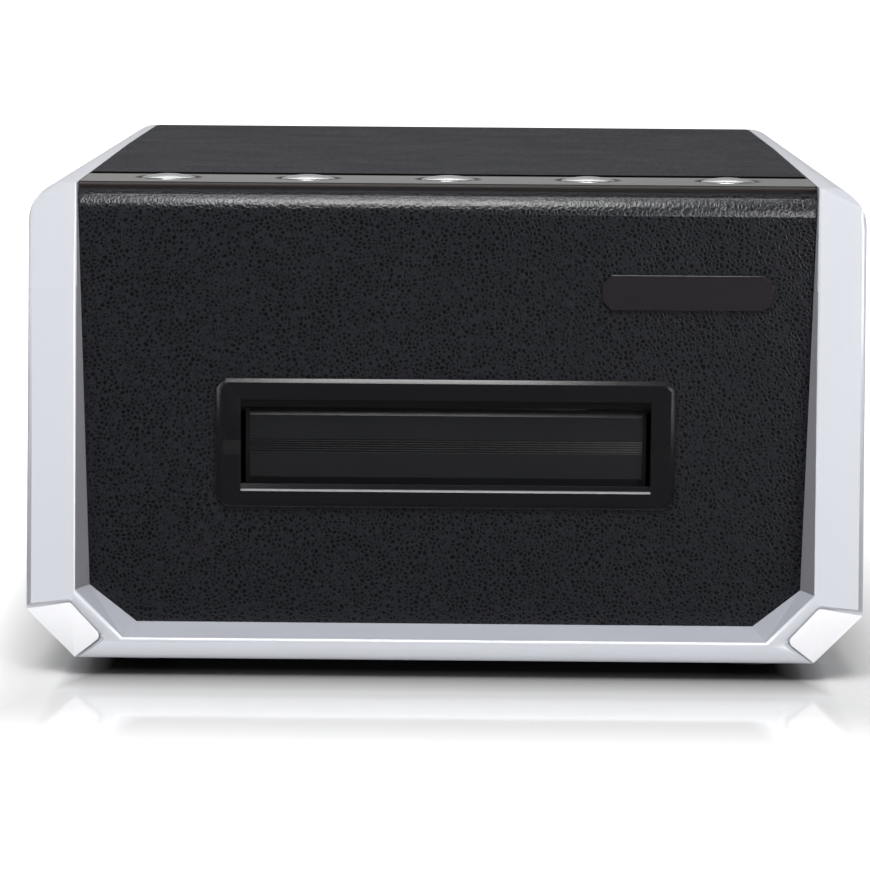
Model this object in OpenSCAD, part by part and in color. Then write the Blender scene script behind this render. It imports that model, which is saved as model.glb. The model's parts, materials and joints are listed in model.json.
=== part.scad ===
// Film negative scanner, in millimetres. +Z is up and the front faces -Y.
// The origin is on the surface that it stands on, at the middle of its width and depth.

/* [Housing] */
// Width of the silver housing
body_w = 175; // [168:1:190]
// Depth of the housing, from the foot of its front lip to the rear
body_d = 259; // [254:1:280]
// Height of the housing, from its underside to the top of its side rails
body_h = 99; // [97:1:107]
// Thickness of the housing's walls
wall = 2.5; // [2:0.1:3]
// Width of the front lip beside the opening
lip_w = 10.05; // [8:0.05:12]
// Height of the front lip under the opening
sill_h = 4.3; // [3.5:0.1:5]
// How far the front lip leans forward, from its top to its foot
lip_lean = 9.6; // [6:0.1:11]
// How far the top of the front lip stands before the front cover
lip_proud = 0.6; // [0.4:0.1:1.5]
// How far the opening narrows for each millimetre towards the front cover
lip_draft = 0.19; // [0.1:0.01:0.3]
// Size of the cut on the lower corners of the housing
corner_cut = 10.2; // [8:0.1:12]
// Size of the cut on the lower corners of the front opening
opening_cut = 10; // [8:0.1:12]
// Radius of the shoulder along the top of each side rail
shoulder_r = 8; // [5:0.1:8]
// Slope of the facet on the front end of each shoulder, across the scanner
facet_angle = 24.3; // [18:0.1:28]
// Rise of that facet towards the rear
facet_rise = 22; // [15:0.5:30]
// Depth of the pockets that hold the corner pads
pad_pocket = 0.9; // [0.6:0.1:1.2]
// Width of the slope round each corner pad
pad_slope = 1.4; // [0.8:0.1:1.6]
// Radius of the corner pads' inner corners
pad_r = 1.2; // [0.8:0.1:1.6]
// Height of the rubber feet
foot_h = 4; // [2:0.1:5]
// Diameter of the rubber feet
foot_d = 14; // [10:0.5:18]

/* [Covers] */
// Thickness of the leather covered shells
cover_t = 2.4; // [2:0.1:2.8]
// Depth of the side rails' seat under the top cover
seat_drop = 3; // [3:0.1:3.6]
// Radius of the rolled edge of the front cover
roll_r = 5; // [4.6:0.1:6]
// How far the rolled edge lies under the control strip's top
roll_drop = 1.2; // [0.6:0.1:1.4]
// Radius of the rear edge of the top cover
rear_roll_r = 6; // [4:0.1:8]
// Height of the rear part of the top cover
rear_drop = 11; // [10:0.5:16]
// Groove between the control strip and the top cover
groove = 0.7; // [0.4:0.1:1]
// Width of the label plate
label_w = 35.7; // [30:0.1:40]
// Height of the label plate
label_h = 7.3; // [5:0.1:9]
// Thickness of the label plate
label_t = 0.8; // [0.5:0.1:1.2]
// Distance of the label plate's middle from the right side of the opening
label_set = 27; // [25:0.1:37]
// Height of the label plate's middle
label_z = 80.8; // [74:0.1:86]

/* [Control strip] */
// Depth of the control strip, front to rear
strip_d = 29.3; // [26:0.1:34]
// Diameter of the push buttons
button_d = 11.6; // [10:0.1:13]
// Distance of the outer buttons' middle from the sides of the opening
button_side = 17.8; // [16:0.1:24]
// Distance of the buttons from the front edge of the strip
button_set = 15.5; // [13:0.1:17]
// Diameter of the dished ring round each button
dish_d = 14.6; // [13.8:0.1:16]
// Depth of the dished ring
dish_depth = 0.9; // [0.5:0.1:1.3]
// How far the middle of a button stands above the strip
button_proud = 1; // [0.6:0.1:1.4]
// Travel of the buttons
button_travel = 0.8; // [0.5:0.1:0.9]

/* [Film slot] */
// Height of the film slot's middle over the underside, as a share of the housing's height
slot_share = 0.4505; // [0.43:0.0005:0.464]
// Width of the slot bezel's bars beside the window
bezel_side = 5.05; // [4:0.05:6]
// Height of the slot bezel's bars over the window and under it
bezel_bar = 4.1; // [3.4:0.1:5]
// How far the bezel stands out from the front cover
bezel_proud = 1.4; // [1:0.1:2]
// Width of the slot's window
window_w = 86.2; // [85.2:0.1:87.2]
// Height of the slot's window
window_h = 19; // [18.6:0.1:19.6]
// Gap between the slot doors and the window at each side
door_gap = 0.9; // [0.6:0.1:1.2]
// Thickness of the slot doors' plates
door_t = 1.6; // [1.3:0.1:1.8]
// Rim of the front slot door beside its raised panel
panel_side = 0.9; // [0.6:0.1:3]
// Height of the window that the raised panel leaves free over it and under it
panel_bar = 2.25; // [2.1:0.05:3.5]
// Diameter of the door pins
door_pin_d = 2; // [1.6:0.1:2.2]
// Wire of the door springs
spring_wire = 0.5; // [0.4:0.1:0.5]
// Turns of the door springs
spring_turns = 5; // [3:1:6]

/* [Film transport] */
// Clear height of the film channel
channel_h = 10; // [9:0.1:10.4]
// How far the film channel is narrower than the window at each side
channel_set = 0.4; // [0.2:0.1:0.4]
// Thickness of the film guide's walls
guide_t = 1.6; // [1.4:0.1:1.8]
// Distance of the drive shafts from the middle of the scanner
shaft_y = 60; // [56:0.5:64]
// Diameter of the drive shafts
shaft_d = 5; // [4:0.1:6]
// Diameter of the drive tyres
tyre_d = 10.6; // [10:0.1:12]
// Width of the drive tyres
tyre_w = 8; // [6:0.5:9]
// Distance of the tyres' middle from the sides of the film channel
tyre_set = 7.7; // [5.7:0.1:10.7]
// Diameter of the pinch rollers
pinch_d = 8.4; // [8.2:0.1:9]
// Gap between the film guide and each side plate
plate_gap = 5.7; // [4.7:0.1:6.7]
// Thickness of the steel side plates
plate_t = 2; // [1.5:0.1:2.5]
// Distance of the side plates' top under the top of the side rails
plate_drop = 28.5; // [26.5:0.1:29]
// Size of the gear teeth, as pitch diameter over number of teeth
gear_module = 0.8; // [0.7:0.05:0.85]
// Teeth on the drive gear
gear_teeth = 54; // [48:1:56]
// Teeth on the motor's pinion
pinion_teeth = 12; // [12:1:14]
// Width of the gear teeth along the shaft
gear_w = 4; // [3:0.5:6]
// Diameter of the belt pulleys
pulley_d = 12; // [10:0.5:14]
// Width of the belt
belt_w = 4; // [3:0.5:6]
// Thickness of the belt
belt_t = 1; // [0.8:0.1:1.5]
// Side of the square stepper motor
motor_w = 28; // [26:0.5:29]
// Length of the stepper motor
motor_l = 30; // [26:0.5:32]

/* [Optics and boards] */
// Thickness of the circuit boards
board_t = 1.6; // [1:0.1:2]
// Width of the gate that the film is scanned through
gate_w = 40; // [36:1:46]
// Length of the gate that the film is scanned through
gate_l = 28; // [24:1:32]
// Gap between the lamp housing and the main board over it
lamp_gap = 1.3; // [0.8:0.1:4.3]
// Height of the lens axis over the base plate
lens_z = 16; // [15:0.5:17]
// Diameter of the lens barrel
lens_d = 20; // [16:0.5:22]
// Length of the lens barrel
lens_l = 28; // [24:1:34]
// Distance from the mirror to the sensor board
sensor_y = 78; // [74:0.5:80]

/* [Hidden] */

// A cut runs this far past the surface that it opens
past = 1;
// Gap beside pieces that are laid or pushed into a seat
fit = 0.15;
// Gap between pieces that move past each other
clear = 0.35;
// Pieces of one part that are joined run this far into each other
sunk = 0.1;
// Running gap of a shaft in its bore, on the radius
run = 0.04;
// Faces round a true circle
$fn = 64;

// Housing
half_w = body_w / 2;
front_y = -body_d / 2;
rear_y = body_d / 2;
top_z = foot_h + body_h;
inner_x = half_w - lip_w;
lean = atan(lip_lean / body_h);
leather_y = front_y + lip_lean + lip_proud;
seat_z = top_z - seat_drop;
// Rail under the covers, and how far it reaches in
seat_w = 4;
seat_t = 2.5;
rail_wall = 2;
// Reach of the corner pads from the sides, at their foot
pad_reach = 15.7;
// Distance of the shoulder's facet from the opening, at its top corner
facet_set = 0.4;

// Covers and control strip
cover_x = inner_x - fit;
label_x = inner_x - label_set;
roll_top = top_z - roll_drop;
// The strip's front edge stands this far behind the front cover's face
strip_set = 4;
strip_front = leather_y + strip_set;
strip_rear = strip_front + strip_d;
button_y = strip_front + button_set;
button_pitch = (inner_x - button_side) / 2;
flange_d = button_d + 2.6;
flange_t = 1;
stem_d = 4;
stem_l = 0.5;

// Film slot
slot_z = foot_h + slot_share * body_h;
bezel_w = window_w + 2 * bezel_side;
bezel_h = window_h + 2 * bezel_bar;
door_w = window_w - 2 * door_gap;
panel_w = door_w - 2 * panel_side;
panel_h = window_h - 2 * panel_bar;
bezel_front = leather_y - bezel_proud;
window_z = slot_z - 0.3;
panel_z = slot_z - 0.2;
band_z = slot_z - 0.8;
window_top = window_z + window_h / 2;
window_foot = window_z - window_h / 2;
tunnel_t = 2.4;
tunnel_l = 10;
barrel_r = 1.9;
pivot_z = window_top - barrel_r - clear;
door_back = 0.6;
panel_t = 0.8;
front_pivot_y = bezel_front + 5.6;
rear_panel_t = 2.5;
rear_face = rear_y - 0.5;
rear_pivot_y = rear_face - barrel_r + 0.2;
door_foot = window_foot + clear;
// Place and room of the door springs, and the skin of the door before them
spring_x = door_w / 2 - 9.2;
spring_room = 7;
spring_skin = 0.25;

// Film transport
floor_z = slot_z - channel_h / 2;
roof_z = slot_z + channel_h / 2;
guide_half = window_w / 2 - channel_set;
// Radius that the front door's foot swings through, and the floor's front end behind it
door_swing = sqrt(pow(door_back + door_t, 2) + pow(pivot_z - door_foot, 2));
guide_front = front_pivot_y + sqrt(pow(door_swing, 2) - pow(pivot_z - floor_z, 2)) + 2 * clear;
guide_rear = rear_face - rear_panel_t - tunnel_l;
roof_front = front_pivot_y + pivot_z - door_foot + 2;
nip = 0.3;
shaft_z = floor_z - tyre_d / 2 + nip;
pinch_z = roof_z + pinch_d / 2 - nip;
pinch_shaft_d = 3.6;
base_t = 1.5;
boss_d = 8;
boss_h = 2.5;
base_z = foot_h + wall + boss_h;
deck_z = base_z + base_t;
plate_x = guide_half + guide_t + plate_gap;
plate_top = top_z - plate_drop;
plate_half_l = shaft_y + 20;
// Turned foot and top of the side plates, and the opening between the shafts
plate_flange = 10;
plate_cut_w = 30;
plate_cut_h = 16;
base_half_w = plate_x + plate_t + 12;
base_half_l = plate_half_l + 16;
tyre_x = guide_half - tyre_set;
gear_x = plate_x + plate_t + 1;
gear_r = gear_teeth * gear_module / 2;
pinion_r = pinion_teeth * gear_module / 2;
centre_gap = 0.1;
centre_distance = gear_r + pinion_r + centre_gap;
motor_z = deck_z + motor_w / 2 + 0.6;
motor_y = -shaft_y + sqrt(pow(centre_distance, 2) - pow(shaft_z - motor_z, 2));
// Direction from the drive gear to the pinion
mesh_angle = atan2(motor_z - shaft_z, motor_y + shaft_y);
pulley_w = belt_w + 2.6;
flange_over = 1.6;
belt_gap = 0.3;
bush_d = 9;
bush_l = plate_t + 2;

// Optics and boards
optic_z = deck_z + lens_z;
lens_y = 24;
board_deck = plate_top;
board_top = board_deck + board_t;
board_front = -40;
board_rear = rear_face - rear_panel_t - 0.5;
board_half = plate_x + plate_t;
key_board_z = seat_z - 9;
inlet_x = -board_half;
socket_x = inlet_x + 24;
switch_x = board_half - 6;
socket_z = board_top;
switch_z = board_top + 5;
screw_d = 3;
screw_head_d = 5.6;
screw_head_h = 1.8;
base_screw_l = 4.5;
board_screw_l = 5;
key_screw_l = 6;
sensor_half_w = 30;
sensor_chip_w = 20;
sensor_over = 11;
sensor_foot = 8;
lamp_rim = 5;
lamp_h = plate_top - lamp_gap - roof_z - guide_t;
// Ports and switch at the rear
inlet_w = 9;
inlet_h = 10.5;
inlet_l = 11;
inlet_rise = 5.5;
inlet_bore = 6.3;
inlet_floor = 2;
inlet_pin = 2;
socket_w = 12;
socket_h = 11;
socket_l = 13;
socket_t = 1;
socket_floor = 3;
tongue_w = 5.6;
tongue_h = 3.2;
switch_w = 19;
switch_h = 12;
switch_l = 12;
// Parts on the circuit boards
chip_w = 24;
chip_t = 2.2;
driver_w = 14;
driver_l = 20;
memory_l = 10;
flat_t = 1.6;
header_w = 22;
header_l = 6;
header_h = 5;
can_d = 8;
can_h = 11;
can_pitch = 12;
key_w = 6;
key_board_rim = 9;

// Places of the screws that hold the base plate
base_screw_places = [for (sx = [-1, 1]) for (sy = [-1, 1]) [sx * (base_half_w - 6), sy * (base_half_l - boss_d)]];
// Places of the feet
foot_x = half_w - 22;
foot_y = rear_y - 28;
// Places of the posts between the buttons
post_places = [for (i = [-1.5, -0.5, 0.5, 1.5]) [i * button_pitch, button_y]];
board_screw_places = [for (sx = [-1, 1]) for (y = [board_front + 6, 66]) [sx * (plate_x - 5), y]];

// A box between two opposite corners
module block(low, high) {
    translate(low) cube(high - low);
}

// Carries a drawing in X and Z along the depth
module along_y(from, to) {
    translate([0, to, 0]) rotate([90, 0, 0]) linear_extrude(to - from) children();
}

// Carries a drawing in Y and Z along the width
module along_x(from, to) {
    translate([from, 0, 0]) rotate([90, 0, 90]) linear_extrude(to - from) children();
}

module rod_x(y, z, d, from, to) {
    translate([from, y, z]) rotate([0, 90, 0]) cylinder(d = d, h = to - from);
}

module rod_y(x, z, d, from, to) {
    translate([x, to, z]) rotate([90, 0, 0]) cylinder(d = d, h = to - from);
}

module rod_z(x, y, d, from, to) {
    translate([x, y, from]) cylinder(d = d, h = to - from);
}

module both_sides() {
    children();
    mirror([1, 0, 0]) children();
}

// Points of an arc, by centre, radius and angles
function arc(x, y, r, from, to, steps) =
    [for (i = [0:steps]) let (a = from + (to - from) * i / steps) [x + r * cos(a), y + r * sin(a)]];

// Points of an arc that rounds the corner b between its neighbours a and c
function round_corner(a, b, c, r, steps) =
    let (u = (a - b) / norm(a - b))
    let (v = (c - b) / norm(c - b))
    let (half = acos(u * v) / 2)
    let (middle = b + (u + v) / norm(u + v) * r / sin(half))
    let (from = b + u * r / tan(half) - middle)
    let (to = b + v * r / tan(half) - middle)
    [for (i = [0:steps]) let (way = from + (to - from) * i / steps) middle + way * r / norm(way)];

// A rectangle with its corners cut at 45 degrees, by its middle
module cut_rectangle(w, h, cut) {
    polygon([[-w / 2, -h / 2 + cut], [-w / 2 + cut, -h / 2], [w / 2 - cut, -h / 2], [w / 2, -h / 2 + cut],
        [w / 2, h / 2 - cut], [w / 2 - cut, h / 2], [-w / 2 + cut, h / 2], [-w / 2, h / 2 - cut]]);
}

// Right half of the housing's outline, drawn in by an inset
function side_points(inset) =
    let (x = half_w - inset)
    let (cut = corner_cut - inset * (2 - sqrt(2)))
    let (r = shoulder_r - inset)
    concat([[x - cut, foot_h + inset], [x, foot_h + inset + cut]],
        arc(x - r, top_z - shoulder_r, r, 0, 90, 8));

// Whole section of the housing, drawn in by an inset and closed at the top
module section(inset) {
    right = side_points(inset);
    count = len(right);
    left = [for (i = [1:count]) [-right[count - i][0], right[count - i][1]]];
    polygon(concat(right, left));
}

// Walls and side rails, with a seat that reaches in from each rail
module wall_section(seat) {
    difference() {
        section(0);
        difference() {
            section(wall);
            translate([-inner_x - rail_wall, seat_z - seat_t]) square([2 * (inner_x + rail_wall), seat_drop + seat_t + past]);
        }
        translate([-inner_x, seat_z]) square([2 * inner_x, seat_drop + past]);
        translate([-inner_x + seat, seat_z - seat_t - past]) square([2 * (inner_x - seat), seat_t + 2 * past]);
    }
}

// Stands a piece drawn with Y as depth and Z as height on the leaning face of the front lip
module on_lip() {
    translate([0, front_y, foot_h]) rotate([-lean, 0, 0]) children();
}

// Depth of the front lip before the front cover, at a height over the underside
function lip_depth(h) = lip_proud + lip_lean * (body_h - h) / body_h;

// Opening of the front lip: wide at the lip's face and narrower at the front cover
module lip_opening() {
    cut_z = sill_h + opening_cut;
    back_cut_z = cut_z - 0.2 * lip_depth(cut_z) * lip_draft;
    side_x = inner_x - lip_draft * lip_depth(cut_z);
    top_x = inner_x - lip_draft * lip_depth(body_h);
    foot = sill_h + lip_draft * lip_depth(sill_h);
    foot_x = inner_x - opening_cut - 1.25 * lip_draft * lip_depth(sill_h);
    over = body_h + past;
    hull() {
        on_lip() along_y(-2 * past, 0)
            polygon([[-inner_x, over], [-inner_x, cut_z], [-inner_x + opening_cut, sill_h],
                [inner_x - opening_cut, sill_h], [inner_x, cut_z], [inner_x, over]]);
        translate([0, 0, foot_h]) along_y(leather_y, leather_y + 0.02)
            polygon([[-top_x, over], [-side_x, back_cut_z], [-foot_x, foot],
                [foot_x, foot], [side_x, back_cut_z], [top_x, over]]);
    }
}

// Outline of the right corner pad on the lip's face, grown towards the opening by a margin
module pad_outline(margin, over) {
    outer_top = [half_w, corner_cut];
    inner_top = [half_w - 9.1, corner_cut + 1.4 + 0.6 * margin];
    inner_foot = [half_w - pad_reach - margin, corner_cut - 5.6 - 0.35 * margin];
    outer_foot = [half_w - corner_cut, 0.2];
    polygon(concat(over > 0 ? [[half_w + over, corner_cut + over]] : [], [outer_top],
        round_corner(outer_top, inner_top, inner_foot, pad_r, 4),
        round_corner(inner_top, inner_foot, outer_foot, pad_r, 4),
        [outer_foot, [half_w - corner_cut + over, -over]]));
}

// Pocket of a corner pad: straight where the pad sits and sloped round it
module pad_room() {
    on_lip() along_y(-past, pad_pocket) pad_outline(2 * fit, past);
    on_lip() hull() {
        along_y(-past, 0) pad_outline(pad_slope, past);
        along_y(-past, pad_pocket / 2) pad_outline(2 * fit, past);
    }
}

// Material over the facet on the front end of the right shoulder
module shoulder_facet() {
    translate([inner_x + facet_set, front_y + lip_lean, top_z]) rotate([0, facet_angle, 0]) rotate([facet_rise, 0, 0])
        translate([-past, -20, 0]) cube([30, 50, 20]);
}

// Material behind the rear roll, which the side rails share with the top cover
module rear_roll_cut() {
    roll_y = rear_y - rear_roll_r;
    roll_z = top_z - rear_roll_r;
    along_x(-half_w - past, half_w + past)
        polygon(concat(arc(roll_y, roll_z, rear_roll_r, 90, 0, 12),
            [[rear_y + past, roll_z], [rear_y + past, top_z + past], [roll_y, top_z + past]]));
}

module housing() {
    color("gainsboro") difference() {
        union() {
            along_y(strip_front + 0.2, rear_y) wall_section(seat_w);
            along_y(leather_y, strip_front + 0.2) wall_section(0);
            difference() {
                along_y(front_y - past, leather_y) section(0);
                on_lip() translate([-half_w - past, -20, -20]) cube([body_w + 2 * past, 20, body_h + 40]);
                lip_opening();
            }
            for (place = base_screw_places) rod_z(place[0], place[1], boss_d, foot_h + wall / 2, base_z);
            // Ribs that stop the rear panel
            both_sides() block([half_w - wall - 1.5, rear_y - 6, foot_h + 20], [half_w - wall / 2, rear_y - 3.1, foot_h + 70]);
        }
        both_sides() pad_room();
        for (place = base_screw_places) rod_z(place[0], place[1], screw_d + 0.2, foot_h + 0.8, base_z + past);
        for (sx = [-1, 1]) for (sy = [-1, 1]) rod_z(sx * foot_x, sy * foot_y, 5.2, foot_h - past, foot_h + wall + past);
        both_sides() shoulder_facet();
        rear_roll_cut();
        // The rear panel and the top cover's rear part close the back
        block([-inner_x, rear_y - rear_roll_r, seat_z - seat_t - past], [inner_x, rear_y + past, seat_z + past / 2]);
    }
}

module corner_pad() {
    on_lip() along_y(0, pad_pocket) difference() {
        pad_outline(0, 0);
        translate([half_w - corner_cut, 0]) rotate(45) translate([-past, -10 + 0.05]) square([40, 10]);
    }
}

module corner_pad_left() { color("whitesmoke") mirror([1, 0, 0]) corner_pad(); }

module corner_pad_right() { color("whitesmoke") corner_pad(); }

// Section of the front cover in Y and Z: a front wall and a roll that ends at the strip
module front_section() {
    roll_y = leather_y + roll_r;
    roll_z = roll_top - roll_r;
    inner_r = roll_r - cover_t;
    end = strip_front - fit - roll_y;
    polygon(concat([[leather_y, foot_h + sill_h]],
        arc(roll_y, roll_z, roll_r, 180, acos(end / roll_r), 12),
        arc(roll_y, roll_z, inner_r, acos(end / inner_r), 180, 8),
        [[leather_y + cover_t, foot_h + sill_h]]));
}

module front_cover() {
    foot = foot_h + sill_h;
    chamfer = 5;
    color([0.09, 0.09, 0.1]) difference() {
        union() {
            along_x(-cover_x, cover_x) front_section();
            // Flange that the control strip lies on
            block([-inner_x + seat_w + fit, strip_front - cover_t, seat_z - 2], [inner_x - seat_w - fit, strip_front + 8, seat_z]);
            block([-inner_x + seat_w + fit, strip_front - cover_t, seat_z - 2], [inner_x - seat_w - fit, strip_front - fit, roll_top - cover_t / 2]);
        }
        // Room for the tunnel of the bezel
        block([-window_w / 2 - tunnel_t - fit, leather_y - past, window_foot - 1.6 - fit],
            [window_w / 2 + tunnel_t + fit, leather_y + cover_t + past, window_top + 1.6 + fit]);
        // Lower corners that clear the housing's corners
        both_sides() along_y(leather_y - past, leather_y + cover_t + past)
            polygon([[cover_x - chamfer, foot - past], [cover_x - chamfer, foot], [cover_x, foot + chamfer],
                [cover_x + past, foot + chamfer], [cover_x + past, foot - past]]);
        // Peg holes of the label plate
        for (side = [-1, 1]) rod_y(label_x + side * label_w / 4, label_z, 2.2, leather_y - past, leather_y + cover_t + past);
    }
}

module label_plate() {
    color([0.13, 0.1, 0.13]) {
        translate([label_x, 0, label_z]) along_y(leather_y - label_t, leather_y) cut_rectangle(label_w, label_h, 1.9);
        for (side = [-1, 1]) rod_y(label_x + side * label_w / 4, label_z, 2, leather_y - 0.1, leather_y + cover_t);
    }
}

// One dished hole of the control strip
module dish(x) {
    translate([x, button_y, top_z - dish_depth]) cylinder(d1 = button_d + 0.8, d2 = dish_d, h = dish_depth);
    rod_z(x, button_y, dish_d, top_z, top_z + past);
    rod_z(x, button_y, button_d + 2 * clear, seat_z - past, top_z);
}

module control_strip() {
    color([0.12, 0.12, 0.13]) difference() {
        union() {
            block([-cover_x, strip_front, seat_z], [cover_x, strip_rear, top_z]);
            for (place = post_places) rod_z(place[0], place[1], 6, key_board_z + board_t, seat_z + past);
        }
        for (i = [-2:2]) dish(i * button_pitch);
        for (place = post_places) rod_z(place[0], place[1], screw_d + 0.2, key_board_z, seat_z);
    }
}

// A push button: domed cap, flange under the strip and a stem over its key switch
module button(x) {
    dome_r = (pow(button_d / 2, 2) + pow(button_proud, 2)) / (2 * button_proud);
    flange_top = seat_z - clear;
    color("silver") {
        intersection() {
            rod_z(x, button_y, button_d, flange_top - flange_t / 2, top_z + 2 * button_proud);
            translate([x, button_y, top_z + button_proud - dome_r]) sphere(r = dome_r, $fn = 128);
        }
        rod_z(x, button_y, flange_d, flange_top - flange_t, flange_top);
        rod_z(x, button_y, stem_d, flange_top - flange_t - stem_l, flange_top - flange_t / 2);
    }
}

module button_1() { button(-2 * button_pitch); }

module button_2() { button(-button_pitch); }

module button_3() { button(0); }

module button_4() { button(button_pitch); }

module button_5() { button(2 * button_pitch); }

module top_cover() {
    front = strip_rear + groove;
    roll_y = rear_y - rear_roll_r;
    roll_z = top_z - rear_roll_r;
    inner_r = rear_roll_r - cover_t;
    color([0.1, 0.1, 0.11]) {
        along_x(-cover_x, cover_x)
            polygon(concat([[front, seat_z], [front, top_z - 0.8], [front + 0.8, top_z]],
                arc(roll_y, roll_z, rear_roll_r, 90, 0, 12),
                [[rear_y, top_z - rear_drop], [rear_y - cover_t, top_z - rear_drop]],
                arc(roll_y, roll_z, inner_r, 0, 90, 8), [[roll_y, seat_z]]));
    }
}

// Fine horizontal grooves, cut in from a face that looks to the front
module reeding(from, to, face_y) {
    pitch = 0.5;
    for (i = [-2.5:1:2.5])
        block([from, face_y - past, band_z + i * pitch - 0.12], [to, face_y + 0.22, band_z + i * pitch + 0.12]);
}

module slot_bezel() {
    side = window_w / 2;
    color([0.14, 0.14, 0.15]) difference() {
        union() {
            // Flange on the front cover, with a bevelled upper half
            translate([0, 0, slot_z]) along_y(bezel_front + 0.5, leather_y) cut_rectangle(bezel_w, bezel_h, 2);
            translate([0, 0, slot_z]) along_y(bezel_front, bezel_front + 0.5)
                cut_rectangle(bezel_w - 1.2, bezel_h - 1.2, 1.6);
            // Tunnel through the front cover
            block([-side - tunnel_t, leather_y - 0.2, window_foot - 1.6], [side + tunnel_t, leather_y + tunnel_l, window_top + 1.6]);
        }
        block([-side, bezel_front - past, window_foot], [side, leather_y + tunnel_l + past, window_top]);
        rod_x(front_pivot_y, pivot_z, door_pin_d + 0.04, -side - tunnel_t - past, side + tunnel_t + past);
        both_sides() reeding(side, bezel_w / 2 - 1, bezel_front);
    }
    // Sill under the door, and the header in front of its barrel
    color([0.14, 0.14, 0.15]) {
        block([-side, front_pivot_y - 4.6, window_foot - 0.2], [side, front_pivot_y - 3.4, door_foot + 0.7]);
        block([-side, front_pivot_y - 3.2, panel_z + panel_h / 2 + clear], [side, front_pivot_y - 2.2, window_top + 0.2]);
    }
}

// Plate, barrel and bore of a slot door whose foot hangs under the pivot
module door_plate(pivot_y) {
    face = pivot_y - door_back - door_t;
    difference() {
        union() {
            block([-door_w / 2, face, door_foot], [door_w / 2, face + door_t, pivot_z]);
            rod_x(pivot_y, pivot_z, 2 * barrel_r, -door_w / 2, door_w / 2);
        }
        rod_x(pivot_y, pivot_z, door_pin_d + 2 * run, -door_w / 2 - past, door_w / 2 + past);
        // Room for the spring
        block([spring_x - spring_room / 2, face + spring_skin, pivot_z - barrel_r - 2 * clear],
            [spring_x + spring_room / 2, pivot_y + barrel_r + past, pivot_z + barrel_r + past]);
    }
}

module slot_door() {
    face = front_pivot_y - door_back - door_t;
    color([0.15, 0.15, 0.16]) difference() {
        union() {
            door_plate(front_pivot_y);
            block([-panel_w / 2, face - panel_t, panel_z - panel_h / 2], [panel_w / 2, face + 0.1, panel_z + panel_h / 2]);
        }
        reeding(-panel_w / 2 - past, panel_w / 2 + past, face - panel_t);
        // Bevel along the top of the raised panel
        translate([0, face - panel_t, panel_z + panel_h / 2 - 1.4]) rotate([-30, 0, 0])
            translate([-panel_w, -3, 0]) cube([2 * panel_w, 3, 5]);
    }
}

module rear_door() { color([0.12, 0.12, 0.13]) door_plate(rear_pivot_y); }

module door_pin(pivot_y) {
    reach = window_w / 2 + tunnel_t;
    color("silver") rod_x(pivot_y, pivot_z, door_pin_d, -reach, reach);
}

module slot_door_pin() { door_pin(front_pivot_y); }

module rear_door_pin() { door_pin(rear_pivot_y); }

// Ring of points round a place on the spring's path, square to a direction in Y and Z
function wire_ring(centre, tangent, sides) =
    let (across = [1, 0, 0])
    let (second = cross(tangent, across))
    [for (i = [0:sides - 1]) let (a = 360 * i / sides)
        centre + spring_wire / 2 * (cos(a) * across + sin(a) * second)];

// A torsion spring round a door pin, as one tube along a helix with a short leg at each end
module door_spring(pivot_y) {
    sides = 6;
    turns = spring_turns + 0.5;
    steps = 14 * turns;
    coil_r = door_pin_d / 2 + 0.3 + spring_wire / 2;
    pitch = spring_wire + 0.45;
    start = spring_x - turns * pitch / 2;
    door_leg = 1.2;
    fixed_leg = 1.7;
    coil = [for (i = [0:steps]) let (a = 360 * turns * i / steps - 90)
        wire_ring([start + pitch * turns * i / steps, pivot_y + coil_r * cos(a), pivot_z + coil_r * sin(a)],
            [0, -sin(a), cos(a)], sides)];
    rings = concat([wire_ring([start, pivot_y - door_leg, pivot_z - coil_r], [0, 1, 0], sides)], coil,
        [wire_ring([start + pitch * turns, pivot_y - fixed_leg, pivot_z + coil_r], [0, -1, 0], sides)]);
    points = [for (ring = rings) for (point = ring) point];
    end = (len(rings) - 1) * sides;
    walls = [for (i = [0:len(rings) - 2]) for (j = [0:sides - 1]) for (half = [0, 1])
        let (a = i * sides + j) let (b = i * sides + (j + 1) % sides)
        half == 0 ? [a, b, b + sides] : [a, b + sides, a + sides]];
    first = [for (j = [1:sides - 2]) [0, j + 1, j]];
    last = [for (j = [1:sides - 2]) [end, end + j, end + j + 1]];
    color("silver") polyhedron(points, concat(walls, first, last));
}

module slot_door_spring() { door_spring(front_pivot_y); }

module rear_door_spring() { door_spring(rear_pivot_y); }

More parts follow.
